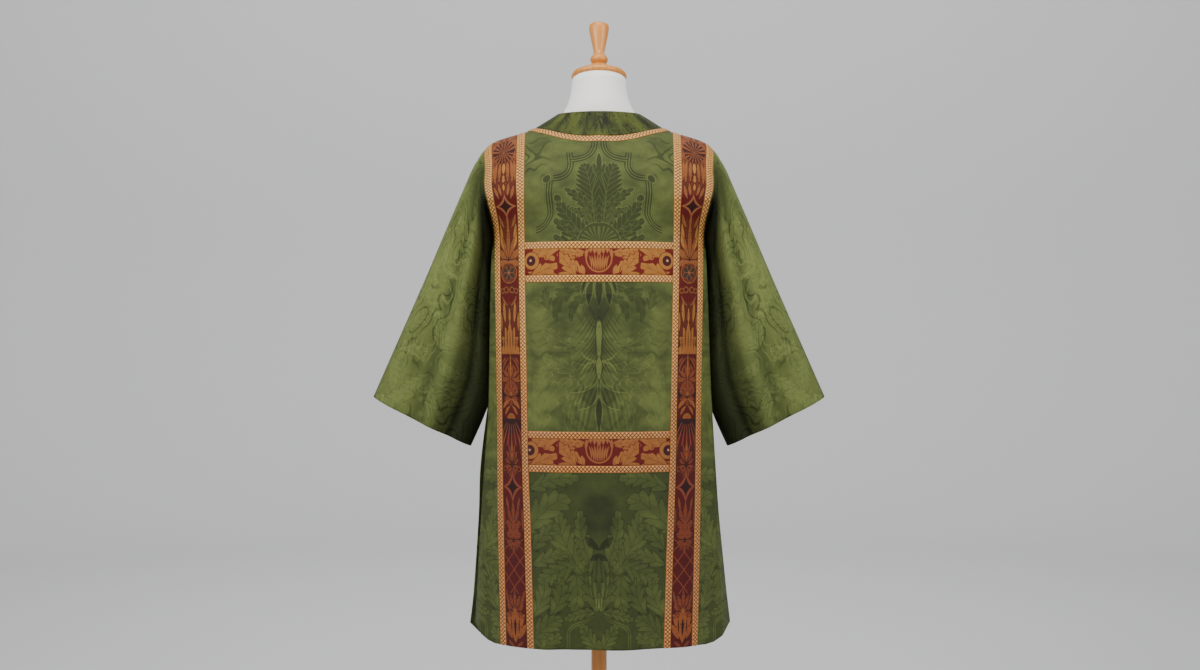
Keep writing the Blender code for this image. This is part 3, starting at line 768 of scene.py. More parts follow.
# A turned piece: a round drawn up ring by ring from its foot, as on a lathe
def turnPiece(name, outline, material, foot=0.0, tilt=0.0):
    bpy.ops.object.select_all(action="DESELECT")
    radius, height = outline[0]
    bpy.ops.mesh.primitive_circle_add(vertices=turning["sides"], radius=radius, fill_type="NGON",
                                      location=(0, 0, 0))
    piece = bpy.context.object
    piece.name = name
    bpy.ops.object.mode_set(mode="EDIT")
    bpy.ops.transform.translate(value=(0, 0, height))
    for nextRadius, nextHeight in outline[1:]:
        bpy.ops.mesh.extrude_region_move(
            TRANSFORM_OT_translate={"value": (0, 0, nextHeight - height)})
        ratio = nextRadius / radius
        bpy.ops.transform.resize(value=(ratio, ratio, 1))
        radius, height = nextRadius, nextHeight
    bpy.ops.mesh.select_all(action="SELECT")
    bpy.ops.mesh.normals_make_consistent(inside=False)
    bpy.ops.object.mode_set(mode="OBJECT")
    piece.rotation_euler = (-tilt, 0, 0)
    piece.location = (0, 0, foot)
    bpy.ops.object.transform_apply(location=True, rotation=True, scale=True)
    bpy.ops.object.shade_smooth_by_angle(angle=turning["sharpFrom"])
    piece.data.materials.append(material)
    return piece


def roundOff(centre, radius, start, stop, steps):
    turns = [math.radians(start + (stop - start) * i / steps) for i in range(steps + 1)]
    return [(centre[0] + radius * math.cos(t), centre[1] + radius * math.sin(t)) for t in turns]


# Materials: sockets that take part in sums

# A sum's own method: it adds a Math node
def maths(operation, turned=False):
    def apply(self, *others):
        values = [*others, self] if turned else [self, *others]
        return self.recipe.node("ShaderNodeMath", {"operation": operation}, dict(enumerate(values)))
    return apply


class Value:
    def __init__(self, recipe, socket):
        self.recipe = recipe
        self.socket = socket

    __add__ = __radd__ = maths("ADD")
    __mul__ = __rmul__ = maths("MULTIPLY")
    __sub__ = maths("SUBTRACT")
    __rsub__ = maths("SUBTRACT", turned=True)
    __truediv__ = maths("DIVIDE")
    __abs__ = maths("ABSOLUTE")
    sine = maths("SINE")
    cosine = maths("COSINE")
    root = maths("SQRT")
    power = maths("POWER")
    angle = maths("ARCTAN2")
    least = maths("MINIMUM")
    most = maths("MAXIMUM")
    bounce = maths("PINGPONG")    # to and fro between nought and a span

    def step(self, low, high):    # a soft rise from 0 at low to 1 at high
        settings = {"interpolation_type": "SMOOTHSTEP"}
        return self.recipe.node("ShaderNodeMapRange", settings, {0: self, 1: low, 2: high})


class Recipe:
    def __init__(self, name, tree=None):
        if tree:                  # a figure's own group of nodes
            self.tree = tree
            return
        self.material = bpy.data.materials.new(name)
        self.material.use_nodes = True
        self.tree = self.material.node_tree
        self.shader = self.tree.nodes["Principled BSDF"]

    def node(self, kind, settings=None, sockets=None, out=0):
        made = self.tree.nodes.new(kind)
        for name, setting in (settings or {}).items():
            setattr(made, name, setting)
        for name, value in (sockets or {}).items():
            self.feed(made.inputs[name], value)
        return Value(self, made.outputs[out])

    def feed(self, socket, value):
        if isinstance(value, Value):
            self.tree.links.new(value.socket, socket)
        elif isinstance(value, tuple) and len(value) == 3 and socket.type == "RGBA":
            socket.default_value = (*value, 1)
        else:
            socket.default_value = value

    def cloth(self):              # the piece's own pattern, in metres across and down
        return self.parts(self.node("ShaderNodeUVMap", {"uv_map": "cloth"}))[:2]

    def parts(self, place):
        split = self.node("ShaderNodeSeparateXYZ", None, {0: place}).socket.node
        return [Value(self, output) for output in split.outputs]

    def mix(self, share, first, second, blend="MIX"):
        settings = {"data_type": "RGBA", "blend_type": blend}
        return self.node("ShaderNodeMix", settings, {0: share, 6: first, 7: second}, out=2)

    def lay(self, colour, distance, tone, soft=0.0004):    # a tone on a colour, inside an outline
        return self.mix(inside(distance, soft), colour, tone)

    def noise(self, place, scale, detail=3.0, rough=0.5):
        sockets = {"Vector": place, "Scale": scale, "Detail": detail, "Roughness": rough}
        return self.node("ShaderNodeTexNoise", {"noise_dimensions": "3D"}, sockets)

    def vector(self, x, y, z=0.0):
        return self.node("ShaderNodeCombineXYZ", None, {0: x, 1: y, 2: z})

    def objectPlace(self):
        return self.node("ShaderNodeTexCoord", None, None, out="Object")

    def raised(self, height, distance, strength=1.0, onto=None):
        sockets = {"Height": height, "Distance": distance, "Strength": strength}
        if onto:
            sockets["Normal"] = onto
        return self.node("ShaderNodeBump", None, sockets)

    # Sets a figure that is drawn once, as a group of nodes, at another place or size
    def stamp(self, draw, *values):
        group = bpy.data.node_groups.get(draw.__name__)
        if not group:
            group = bpy.data.node_groups.new(draw.__name__, "ShaderNodeTree")
            ends = group.interface
            for i in range(len(values)):
                ends.new_socket("in %d" % i, in_out="INPUT", socket_type="NodeSocketFloat")
            inner = Recipe(draw.__name__, group)
            entry = group.nodes.new("NodeGroupInput")
            drawn = draw(*[Value(inner, socket) for socket in entry.outputs[:len(values)]])
            for i in range(len(drawn)):
                ends.new_socket("out %d" % i, in_out="OUTPUT", socket_type="NodeSocketFloat")
            leave = group.nodes.new("NodeGroupOutput")
            for i, value in enumerate(drawn):
                inner.feed(leave.inputs[i], value)
        made = self.node("ShaderNodeGroup", {"node_tree": group}, dict(enumerate(values)))
        return [Value(self, socket) for socket in made.socket.node.outputs]

    def finish(self, **sockets):
        for name, value in sockets.items():
            self.feed(self.shader.inputs[name.replace("_", " ")], value)
        return self.material


# Figures woven in the cloth. Each gives a distance in metres, below nought inside it.

def leafFigure(u, v, footX, footY, turnX, turnY, length, width, bend):
    du, dv = u - footX, v - footY
    along = (du * turnX + dv * turnY) / length
    side = dv * turnX - du * turnY
    swell = along * (1 - along) * 4
    return [abs(side - swell * bend) - swell * width]


# The way and the length from a foot to a tip
def stalk(foot, tip):
    dx, dy = tip[0] - foot[0], tip[1] - foot[1]
    length = math.hypot(dx, dy)
    return dx / length, dy / length, length


def leaf(u, v, foot, tip, width, bend=0.0):
    return u.recipe.stamp(leafFigure, u, v, *foot, *stalk(foot, tip), width, bend)[0]


def disc(u, v, centre, radius):
    return ((u - centre[0]).power(2) + (v - centre[1]).power(2)).root() - radius


def ring(u, v, centre, radius, thick):
    return abs(disc(u, v, centre, radius)) - thick


# A lozenge with hollow sides
def starDiamond(u, v, centre, wide, tall):
    across = abs(u - centre[0]) / wide
    down = abs(v - centre[1]) / tall
    return (across.power(0.62) + down.power(0.62) - 1) * (0.6 * wide)


def fanFigure(u, v, centreX, centreY, radius, gap, width, shrink, stretch, parted):
    du = u - centreX
    up = (centreY - v) * stretch
    away = (du * du + up * up).root()
    turn = abs(du.angle(up))
    along = away / (radius - turn * shrink)
    fold = turn.bounce(gap)
    return [(away * fold - along * (1 - along) * 4 * width).most(parted - away * (gap - fold))]


# Petals spread evenly round a centre, the first straight up (or down with sense -1)
def fan(u, v, centre, radius, gap, width, shrink=0.0, sense=1.0, squash=1.0, parted=0.0006):
    stretch = sense / squash
    return u.recipe.stamp(fanFigure, u, v, *centre, radius, gap, width, shrink, stretch, parted)[0]


# Fine rays round a centre, between two radii
def rays(u, v, centre, near, far, count, share=0.0, sense=1.0, squash=1.0, spread=1.6):
    up = (centre[1] - v) * (sense / squash)
    du = u - centre[0]
    away = (du * du + up * up).root()
    turn = abs(du.angle(up))
    stripe = (share - (turn * count).cosine()) * 0.001
    return stripe.most(away - far).most(near - away).most((turn - spread) * 0.02)


def least(*distances):
    return reduce(Value.least, distances)


# The nearest of a figure's copies, one for each row
def copies(figure, u, v, rows):
    return reduce(Value.least, (figure(u, v, *row) for row in rows))


def inside(distance, soft=0.0004):
    return distance.step(soft, -soft)


# A stretch of the band between two places down it
def between(v, start, stop):
    return abs(v - (start + stop) / 2) - (stop - start) / 2


# Fine woven lines that wander like the rings of a moire, in patches
def swirls(u, v, scale, count):
    recipe = u.recipe
    drift = recipe.noise(recipe.vector(u, v * 0.7, 6.0), scale, 2.0, 0.35)
    patch = recipe.noise(recipe.vector(u, v, 9.0), scale * 0.9, 1.0, 0.5)
    return (drift * count).sine().step(0.45, 0.95) * patch.step(0.40, 0.58)


def acanthusFigure(s, v, footX, footY, turnX, turnY, length, width, bend, lobes):
    ds, dv = s - footX, v - footY
    along = (ds * turnX + dv * turnY) / length
    side = dv * turnX - ds * turnY
    past = along * (1 - along) * 4
    across = abs(side - past * bend)
    sweep = (along - across / length * 1.25) * lobes * math.pi
    scoop = abs((sweep + (sweep * 2).sine() * -0.16).sine()) * 0.46 + 0.60
    edge = (across - past.most(0).root() * width * scoop).most(past * length * -0.25)
    vein = (abs(sweep.sine()) * length / lobes * 0.28).least(across * 1.4) - 0.0008
    return [edge, vein.most(edge).least(abs(edge) - wovenLine)]


# Cut acanthus leaves on bent ribs: their edge, and the veins that part their lobes
def foliage(s, v, leaves):
    edge, vein = None, None
    for foot, tip, *form in leaves:
        rim, rib = s.recipe.stamp(acanthusFigure, s, v, *foot, *stalk(foot, tip), *form)
        edge = edge.least(rim) if edge else rim
        vein = vein.least(rib) if vein else rib
    return edge, vein


# A line that falls from a height and curls away round a centre, to a stop
def scallop(s, v, centre, radius, top, stop):
    reach = ((centre[0] - s).most(0).power(2) + (v - centre[1]).most(0).power(2)).root()
    return abs(reach - radius).most((top - v) * 8).most((s - stop) * 8)


# Duller towards the hem, from one height down to another
def darkerTowardsHem(recipe, colour, tint):
    height = recipe.parts(recipe.objectPlace())[2]
    return recipe.mix(height.step(1.12, 0.85), colour, tint, "MULTIPLY")


# The brocade of the upright bands

bandTones = {
    "ground": (0.105, 0.0026, 0.0008),
    "shade": (0.03, 0.0012, 0.0006),
    "dusk": (0.03, 0.004, 0.005),
    "russet": (0.12, 0.018, 0.004),
    "brightGold": (0.36, 0.158, 0.028),
    "tan": (0.25, 0.08, 0.019),
    "pink": (0.28, 0.096, 0.032),
    "slate": (0.04, 0.022, 0.012),
    "lowerTint": (0.61, 0.36, 0.42),
    "outline": 0.001,
}

# Where a figure stands, in metres out from the band's middle and down from the shoulder
bandFigures = {
    "warm": ((-0.02, 0.232), (0.284, 0.366), (0.452, 0.528), (0.6, 0.634)),
    "dusk": ((0.628, 0.643), (0.687, 0.716)),
    "shell": (0, 0.119),
    "roundel": (0, 0.392),
    "lozenges": ((0, 0.257), (0, 0.823)),
    "flames": (0, 0.556),
    "latticeFrom": 0.952,
    "latticeStep": 0.0175,
    # centre, radius, angle between petals, their width, how fast they shorten to the sides,
    # up or down, how far they are drawn out
    "palmettes": (
        ((0, 0.366), 0.052, 0.3, 0.0052, 0.012, 1.0, 1.6),
        ((0, 0.606), 0.032, 0.36, 0.0042, 0.003, -1.0, 1.15),
        ((0, 0.642), 0.027, 0.3, 0.004, 0.004, 1.0, 1.35),
        ((0, 0.78), 0.024, 0.21, 0.0032, 0.004, 1.0, 2.1),
        ((0, 0.9), 0.026, 0.36, 0.0052, 0.004, 1.0, 1.9),
        ((0, 0.928), 0.026, 0.3, 0.0044, 0.004, 1.0, 1.7),
        ((0, 1.07), 0.028, 0.3, 0.0048, 0.004, 1.0, 1.6),
    ),
    # centre, radius, half the line's width
    "tanRings": (
        ((0, 0.392), 0.021, 0.0014),
        ((0.008, 0.427), 0.0058, 0.0014),
        ((0.019, 0.429), 0.0048, 0.0013),
        ((0.0072, 0.786), 0.0046, 0.0013),
        ((0.0185, 0.787), 0.0046, 0.0013),
    ),
    # foot, tip, half width, bend
    "tanLeaves": (
        ((0.007, 0.146), (0.009, 0.204), 0.0036, -0.001),
        ((0.014, 0.144), (0.018, 0.208), 0.0036, -0.002),
        ((0.021, 0.146), (0.0245, 0.204), 0.003, -0.001),
        ((0.006, 0.238), (0.011, 0.206), 0.003, 0.001),
        ((0.013, 0.244), (0.021, 0.212), 0.0032, 0.001),
        ((0.009, 0.3), (0.021, 0.272), 0.0036, 0.002),
        ((0, 0.3), (0, 0.272), 0.003),
        ((0.002, 0.46), (0.02, 0.438), 0.0026, 0.003),
        ((0.0012, 0.562), (0.0225, 0.598), 0.0026, -0.006),
        ((0.0012, 0.574), (0.015, 0.6), 0.002, -0.004),
        ((0.01, 0.562), (0.025, 0.58), 0.002, -0.002),
        ((0.012, 0.61), (0.0245, 0.596), 0.0022, 0.002),
        ((0.0235, 0.76), (0.0225, 0.716), 0.0022),
        ((0.0245, 0.912), (0.0235, 0.862), 0.003),
        ((0.011, 0.872), (0.018, 0.842), 0.0032),
        ((0.013, 1.062), (0.0235, 1.028), 0.0036, 0.001),
        ((0, 1.142), (0.02, 1.126), 0.0034),
        ((0, 0.068), (0, 0.02), 0.004),
        ((0.006, 0.066), (0.022, 0.024), 0.005, 0.002),
    ),
    "goldLeaves": (
        ((0.012, 0.494), (0.015, 0.45), 0.0042, 0.001),
        ((0, 0.498), (0, 0.462), 0.0032),
        ((0.0235, 0.512), (0.0235, 0.47), 0.003),
        ((0, 0.15), (0, 0.184), 0.004),
        ((0, 0.185), (0, 0.206), 0.0036),
        ((0, 0.207), (0, 0.226), 0.0028),
        ((0, 0.612), (0, 0.552), 0.0024),
        ((0, 0.646), (0.0235, 0.668), 0.0044, -0.003),
        ((0.002, 0.66), (0.017, 0.68), 0.0034, -0.002),
        ((0, 0.774), (0, 0.722), 0.003),
        ((0, 1.132), (0, 1.06), 0.012),
        ((0, 1.126), (0.0235, 1.072), 0.0075, -0.003),
        ((0.008, 1.124), (0.027, 1.092), 0.006, -0.001),
        ((0.014, 0.32), (0.0205, 0.29), 0.0036, 0.002),
        ((0.014, 0.344), (0.0215, 0.312), 0.0036, 0.002),
    ),
    "darkLeaves": (
        ((0, 1.118), (0, 1.082), 0.0026),
        ((0.0085, 1.112), (0.0105, 1.082), 0.0012),
        ((0, 0.548), (0, 0.512), 0.001),
        ((0.007, 0.546), (0.0085, 0.5), 0.0011),
        ((0.015, 0.55), (0.017, 0.522), 0.001),
    ),
}


def bandColour(recipe, u, v):
    tones, figures = bandTones, bandFigures
    s = abs(u)
    shell, roundel, flames = figures["shell"], figures["roundel"], figures["flames"]
    lozenge, longLozenge = figures["lozenges"]

    # grounds: deep red, with russet and dusky stretches
    warm = least(*[between(v, *stretch) for stretch in figures["warm"]])
    dusk = least(*[between(v, *stretch) for stretch in figures["dusk"]])
    colour = recipe.lay(tones["ground"], warm, tones["russet"], 0.006)
    tanShare = inside(between(v, 0.02, 0.15), 0.012) * (v.step(0.055, 0.075) * 0.45 + 0.25)
    colour = recipe.mix(tanShare, colour, tones["tan"])
    colour = recipe.lay(colour, dusk, tones["dusk"], 0.003)

    # tan petals, drops and leaves, and golden flames, burst and bud, all with dark outlines
    tans = least(
        copies(fan, s, v, figures["palmettes"]),
        copies(ring, s, v, figures["tanRings"]),
        copies(leaf, s, v, figures["tanLeaves"]),
        ring(s, v, (0, 0.968), 0.031, 0.0014).most(v - 0.955),
        ring(s, v, (0, 0.9), 0.035, 0.0012).most(0.925 - v),
    )
    golds = least(
        copies(leaf, s, v, figures["goldLeaves"]),
        fan(s, v, flames, 0.034, 0.23, 0.0066, 0.0055, 1.0, 1.95, -1.0).most(v - 0.557),
        disc(s, v, (0, 0.552), 0.014).most(v - 0.557),
        between(v, 0.551, 0.557),
        disc(s, v, (0, 0.6365), 0.0042),
        disc(s, v, (0, 0.6865), 0.0115).most(v - 0.6865),
    )
    colour = recipe.lay(colour, tans.least(golds) - tones["outline"], tones["shade"])
    colour = recipe.lay(colour, tans, tones["tan"])
    colour = recipe.lay(colour, golds + 0.0002, tones["brightGold"])

    # dark threads: the shell's rays, veins, the flames' tips and the lozenges
    darks = least(
        rays(s, v, shell, 0.0015, 0.0245, 17, -0.05, 1.0, 2.2),
        rays(s, v, shell, 0.0015, 0.0215, 17, -0.05, -1.0, 1.6),
        copies(leaf, s, v, figures["darkLeaves"]),
        starDiamond(s, v, lozenge, 0.0215, 0.0185),
        starDiamond(s, v, longLozenge, 0.02, 0.025),
    )
    colour = recipe.lay(colour, darks, tones["shade"])
    colour = recipe.mix(swirls(s, v, 75, 60) * 0.6, colour, tones["shade"])

    # the roundel's flower
    flower = fan(s, v, roundel, 0.0185, 0.5236, 0.006)
    colour = recipe.lay(colour, disc(s, v, roundel, 0.019), tones["russet"])
    colour = recipe.lay(colour, flower - tones["outline"], tones["pink"])
    colour = recipe.lay(colour, flower, tones["slate"])
    colour = recipe.lay(colour, disc(s, v, roundel, 0.0032), tones["pink"])

    # pale threads: the lattice, arcs round the lozenges, fine rays
    slant, down = s * 1.15, v - figures["latticeFrom"]
    lattice = (down + slant).bounce(figures["latticeStep"])
    lattice = lattice.least((down - slant).bounce(figures["latticeStep"])) - 0.0014
    pales = least(
        abs(starDiamond(s, v, lozenge, 0.0235, 0.0205)) - 0.0019,
        abs(starDiamond(s, v, longLozenge, 0.0235, 0.0285)) - 0.0021,
        lattice.most(between(v, 0.948, 1.034)),
        rays(s, v, (0, 0.672), 0.022, 0.058, 31, 0.55, -1.0, 1.2, 0.75),
        between(v, 0.3685, 0.3705),
    )
    colour = recipe.lay(colour, pales, tones["pink"])
    # darker further down the band
    return recipe.mix(v.step(0.25, 0.75), colour, tones["lowerTint"], "MULTIPLY")


# The brocade of the crosspieces: a lotus in a bowl, curled leaves, an eyed roundel at each end

crossTones = {
    "ground": (0.125, 0.0036, 0.001),
    "gold": (0.34, 0.138, 0.022),
    "tan": (0.3, 0.108, 0.02),
    "dusk": (0.05, 0.004, 0.005),
    "cream": (0.52, 0.31, 0.16),
    "lowerTint": (0.77, 0.7, 0.92),
    "outline": 0.001,
}

crossFigures = {
    # foot, tip, half width, bend of the rib and number of lobes
    "acanthus": (
        ((0.047, 0.0285), (0.0815, -0.019), 0.0145, -0.002, 3),
        ((0.027, -0.019), (0.079, -0.0245), 0.0095, 0.003, 4),
        ((0.078, -0.0295), (0.138, -0.023), 0.0165, 0.002, 3),
        ((0.142, 0.031), (0.0825, 0.005), 0.016, 0.001, 3),
    ),
    # foot, tip, half width, bend
    "leaves": (
        ((0.052, 0.0265), (0.083, 0.024), 0.006, 0.001),
        ((0.033, 0.024), (0.0465, -0.002), 0.0056, 0.003),
        ((0.029, 0.0265), (0.0345, 0.006), 0.0052, 0.001),
        ((0.031, -0.013), (0.06, -0.008), 0.0062, -0.004),
        ((0.082, 0.028), (0.112, 0.027), 0.006),
        ((0.12, 0.029), (0.148, 0.02), 0.004),
    ),
    "veins": (
        ((0.039, 0.023), (0.044, 0.006), 0.0009, 0.001),
        ((0.042, -0.0105), (0.056, -0.012), 0.0008),
        ((0.118, 0.003), (0.15, 0.013), 0.0016, -0.002),
        ((0.085, 0.001), (0.12, -0.003), 0.0034, 0.001),
        ((0.081, -0.029), (0.0815, 0.03), 0.0022),
    ),
    "lotus": (
        ((0.0022, 0.0195), (0.0029, -0.0165), 0.002, -0.0004),
        ((0.0064, 0.0188), (0.0092, -0.015), 0.0021, -0.0012),
        ((0.0105, 0.0168), (0.015, -0.012), 0.002, -0.0018),
        ((0.015, 0.0135), (0.0202, -0.013), 0.0018, -0.0022),
        ((0.026, -0.005), (0.0245, -0.0265), 0.003),
        ((0, -0.012), (0, -0.04), 0.005),
        ((0.0085, -0.015), (0.009, -0.04), 0.0042),
        ((0.0165, -0.017), (0.017, -0.04), 0.0034),
    ),
    # centre, radius
    "berries": (
        ((0.0462, 0.0035), 0.0052),
        ((0.052, -0.009), 0.005),
        ((0.0945, -0.0065), 0.0062),
        ((0.106, -0.0095), 0.0058),
        ((0.116, -0.014), 0.005),
        ((0.099, 0.01), 0.0045),
        ((0.111, 0.0105), 0.005),
    ),
    # tone, centre, radius, from the outside in
    "roundel": (
        ("ground", (0.14, -0.0025), 0.0185),
        ("gold", (0.14, -0.0025), 0.0172),
        ("dusk", (0.141, -0.0025), 0.0105),
        ("cream", (0.142, -0.003), 0.0026),
    ),
}


def crossColour(recipe, u, v):
    tones, figures = crossTones, crossFigures
    s = abs(u)
    edges, ribs = foliage(s, v, figures["acanthus"])
    leaves = least(edges, copies(leaf, s, v, figures["leaves"]),
                   copies(disc, s, v, figures["berries"]))
    colour = recipe.lay(tones["ground"], leaves, tones["gold"])
    veins = least(ribs + 0.0004, copies(leaf, s, v, figures["veins"]))
    colour = recipe.lay(colour, veins, tones["ground"])
    colour = recipe.mix(swirls(s, v, 70, 55) * 0.34, colour, tones["ground"])

    bowl = disc(s, v * 0.92, (0, -0.0065), 0.0275)
    colour = recipe.lay(colour, bowl - tones["outline"], tones["ground"])
    lotus = least(abs(bowl + 0.0022) - 0.0014, copies(leaf, s, v, figures["lotus"]))
    colour = recipe.lay(colour, lotus, tones["tan"])
    foot = leaf(s, v, (0.024, 0.0245), (-0.024, 0.0245), 0.0012)
    colour = recipe.lay(colour, foot, tones["ground"])
    for tone, centre, radius in figures["roundel"]:
        colour = recipe.lay(colour, disc(s, v, centre, radius), tones[tone])
    return darkerTowardsHem(recipe, colour, tones["lowerTint"])


# The damask of the panels

wovenLine = 0.001           # half the width of a woven outline

damaskTones = {
    "deep": (0.0125, 0.0158, 0.002),
    "middle": (0.04, 0.052, 0.009),
    "light": (0.108, 0.128, 0.028),
}

# Acanthus leaves have foot, tip, half width, bend of the rib and number of lobes, from one side of
# the middle. Plain leaves have no lobes. Scallops have centre, radius, top and stop.
yokeFigures = {
    "acanthus": (
        ((0.006, 0.306), (0.034, 0.18), 0.03, -0.008, 11),
        ((0.016, 0.3), (0.068, 0.224), 0.012, -0.014, 6),
        ((0.018, 0.31), (0.062, 0.262), 0.009, -0.012, 4),
        ((0.022, 0.322), (0.084, 0.252), 0.021, 0.004, 6),
        ((0.028, 0.328), (0.092, 0.288), 0.013, 0.002, 4),
        ((0.03, 0.338), (0.092, 0.322), 0.011, 0.002, 3),
    ),
    "buds": (
        ((0, 0.322), (0, 0.19), 0.013),
        ((0, 0.206), (0, 0.16), 0.0068),
        ((0, 0.208), (0.014, 0.18), 0.005, 0.001),
    ),
    "scallops": (
        ((0.034, 0.142), 0.026, 0.134, 0.058),
        ((0.09, 0.175), 0.032, 0.153, 0.092),
        ((0.135, 0.27), 0.036, 0.212, 0.128),
    ),
    "berries": (((0.082, 0.246), 0.008), ((0.106, 0.206), 0.008)),
    "sun": (0, 0.336),
    "lineStep": 0.0052,
}
middleFigures = {
    "acanthus": (
        ((0.01, 0.44), (0.054, 0.492), 0.013, -0.02, 3),
        ((0.044, 0.424), (0.084, 0.496), 0.015, -0.02, 3),
        ((0.024, 0.42), (0.092, 0.43), 0.008, 0.003, 3),
        ((0.1, 0.47), (0.112, 0.424), 0.013, 0.003, 3),
        ((0.004, 0.59), (0.064, 0.706), 0.014, -0.016, 4),
        ((0.128, 0.716), (0.058, 0.604), 0.02, 0.012, 4),
        ((0.02, 0.584), (0.112, 0.56), 0.015, 0.01, 4),
        ((0.03, 0.536), (0.116, 0.506), 0.015, 0.012, 4),
        ((0.134, 0.64), (0.086, 0.58), 0.015, 0.01, 3),
    ),
    "drops": (
        ((0, 0.404), (0, 0.464), 0.0085),
        ((0.009, 0.408), (0.022, 0.462), 0.0066, -0.005),
        ((0.018, 0.402), (0.036, 0.44), 0.004, -0.003),
        ((0, 0.722), (0, 0.64), 0.0062),
    ),
    "scallops": (
        ((0.036, 0.598), 0.033, 0.57, 0.056),
        ((0.03, 0.64), 0.026, 0.61, 0.04),
    ),
    "twigs": (
        ((0.002, 0.57), (0.03, 0.56), 0.0007, 0.004),
        ((0.002, 0.573), (0.03, 0.586), 0.0007, -0.004),
    ),
    "slit": (((0, 0.486), (0, 0.566), 0.0066), ((0, 0.56), (0, 0.614), 0.0036)),
    "featherStep": 0.012,
    "legStep": 0.01,
}
skirtFigures = {
    "acanthus": (
        ((0.14, 0.824), (0.04, 0.8), 0.0192, 0.006, 5),
        ((0.146, 0.906), (0.058, 0.838), 0.0307, 0.008, 4),
        ((0.136, 0.944), (0.076, 0.898), 0.0179, 0.006, 4),
        ((0.028, 0.992), (0.082, 0.876), 0.0282, 0.01, 6),
        ((0.014, 0.992), (0.04, 0.864), 0.0166, 0.004, 6),
        ((0.136, 0.974), (0.062, 0.952), 0.0166, 0.004, 4),
        ((0.048, 0.966), (0.122, 1.006), 0.0218, 0.004, 5),
        ((0.004, 1.066), (0.02, 0.996), 0.0192, 0.002, 3),
        ((0.044, 0.99), (0.05, 1.064), 0.0243, 0.004, 4),
        ((0.094, 1.074), (0.074, 0.998), 0.0192, -0.006, 4),
        ((0.136, 1.078), (0.106, 1.004), 0.0205, -0.006, 4),
        ((0.006, 1.068), (0.068, 1.08), 0.0115, -0.004, 5),
        ((0.144, 1.132), (0.072, 1.078), 0.0243, 0.006, 5),
        ((0.13, 1.162), (0.076, 1.112), 0.0192, 0.005, 4),
        ((0, 1.15), (0.034, 1.09), 0.0166, 0.003, 5),
    ),
    "hollows": (
        ((0, 0.944), (0.026, 0.918), 0.0085, 0.002),
        ((0, 0.95), (0.02, 0.966), 0.0055, 0.002),
    ),
    "tulip": ((0, 1.06), (0, 0.955), 0.022),
    "tulipStep": 0.0085,
}


# Even stripes across a distance, from -1 to 1
def stripes(distance, pitch):
    return (distance * (2 * math.pi / pitch)).cosine()


# Under the yoke: an ogee of fine lines, a half round with rays and the great palmette
def yokeTone(s, v, cloud):
    figures = yokeFigures
    leaves, veins = foliage(s, v, figures["acanthus"])
    buds = least(copies(leaf, s, v, figures["buds"]), copies(disc, s, v, figures["berries"]))
    arcs = copies(scallop, s, v, figures["scallops"])
    onBand = inside(arcs - 0.0092, 0.001)
    sun = disc(s, v, figures["sun"], 0.042)
    sunRays = rays(s, v, figures["sun"], 0.004, 0.038, 24, 0.2, 1.0, 0.92)
    tone = 0.74 + cloud * 0.9
    tone = tone - (stripes(arcs, figures["lineStep"]) * 0.34 + 0.24) * onBand
    tone = tone - swirls(s, v, 15, 62) * inside(disc(s, v, (0.128, 0.15), 0.05), 0.016) * 0.42
    tone = tone + (0.28 - tone) * inside(leaves.least(buds))
    tone = tone + inside(veins.least(abs(buds) - wovenLine), 0.0006) * 0.4
    tone = tone + (0.36 - tone) * inside(sun)
    return tone + inside(sunRays.least(abs(sun) - wovenLine)) * 0.36


# The middle: drooping leaves, a slit stalk with its feathering, and a knot
def middleTone(s, v, cloud):
    figures = middleFigures
    leaves, veins = foliage(s, v, figures["acanthus"])
    drops = copies(leaf, s, v, figures["drops"])
    fall = (v - 0.47) - s.most(0.001).root() * 0.4
    feather = stripes(fall, figures["featherStep"]) * s.step(0.06, 0.01)
    streak = (s - (v - 0.63) * 0.3).most(0)
    legs = stripes(streak, figures["legStep"]) * inside(s - 0.044, 0.014)
    tone = 0.62 - inside(leaves, 0.003) * (inside(v - 0.5, 0.02) * 0.3 - 0.08)
    tone = tone + inside(veins, 0.001) * 0.2
    tone = tone - inside(drops) * 0.4 + inside(abs(drops) - wovenLine, 0.0008) * 0.4
    tone = tone + feather * inside(between(v, 0.486, 0.6), 0.008) * 0.16
    tone = tone + legs * inside(between(v, 0.622, 0.705), 0.008) * 0.13
    fork = least(copies(scallop, s, v, figures["scallops"]), copies(leaf, s, v, figures["twigs"]))
    tone = tone + inside(fork - wovenLine, 0.0006) * 0.36
    slit = copies(leaf, s, v, figures["slit"])
    tone = tone + inside(slit) * 0.5 - inside(abs(slit - 0.0016) - 0.0012) * 0.2
    shade = inside(s - 0.03, 0.014) * inside(between(v, 0.448, 0.48), 0.012) * 0.4
    shade = shade + inside(s - 0.024, 0.02) * inside(between(v, 0.47, 0.72), 0.03) * 0.18
    return tone - shade + s.step(0.055, 0.14) * 0.12 + cloud - swirls(s, v, 13, 75) * 0.13


# The skirt: plumes and lobes over a pointed arch
def skirtTone(s, v, cloud):
    figures = skirtFigures
    leaves, veins = foliage(s, v, figures["acanthus"])
    shoulder = ((s - 0.036).most(0).power(2) + (1.114 - v).most(0).power(2)).root()
    arch = scallop(s, v, (0.04, 1.052), 0.036, 1.04, 0.037)
    arch = arch.least(abs(shoulder - 0.026).most((0.037 - s) * 8))
    tone = 0.36 + inside(leaves, 0.001) * 0.24 - inside(veins, 0.0008) * 0.34
    tone = tone + inside(abs(arch - 0.0022) - 0.0009) * 0.3
    hollow = inside(s - 0.034, 0.012) * inside(between(v, 0.838, 0.906), 0.01) * 0.2
    hollow = hollow + inside(copies(leaf, s, v, figures["hollows"])) * 0.4
    tulip = stripes(s, figures["tulipStep"]) * inside(leaf(s, v, *figures["tulip"]))
    return tone - hollow + tulip * 0.14 + cloud * 0.6


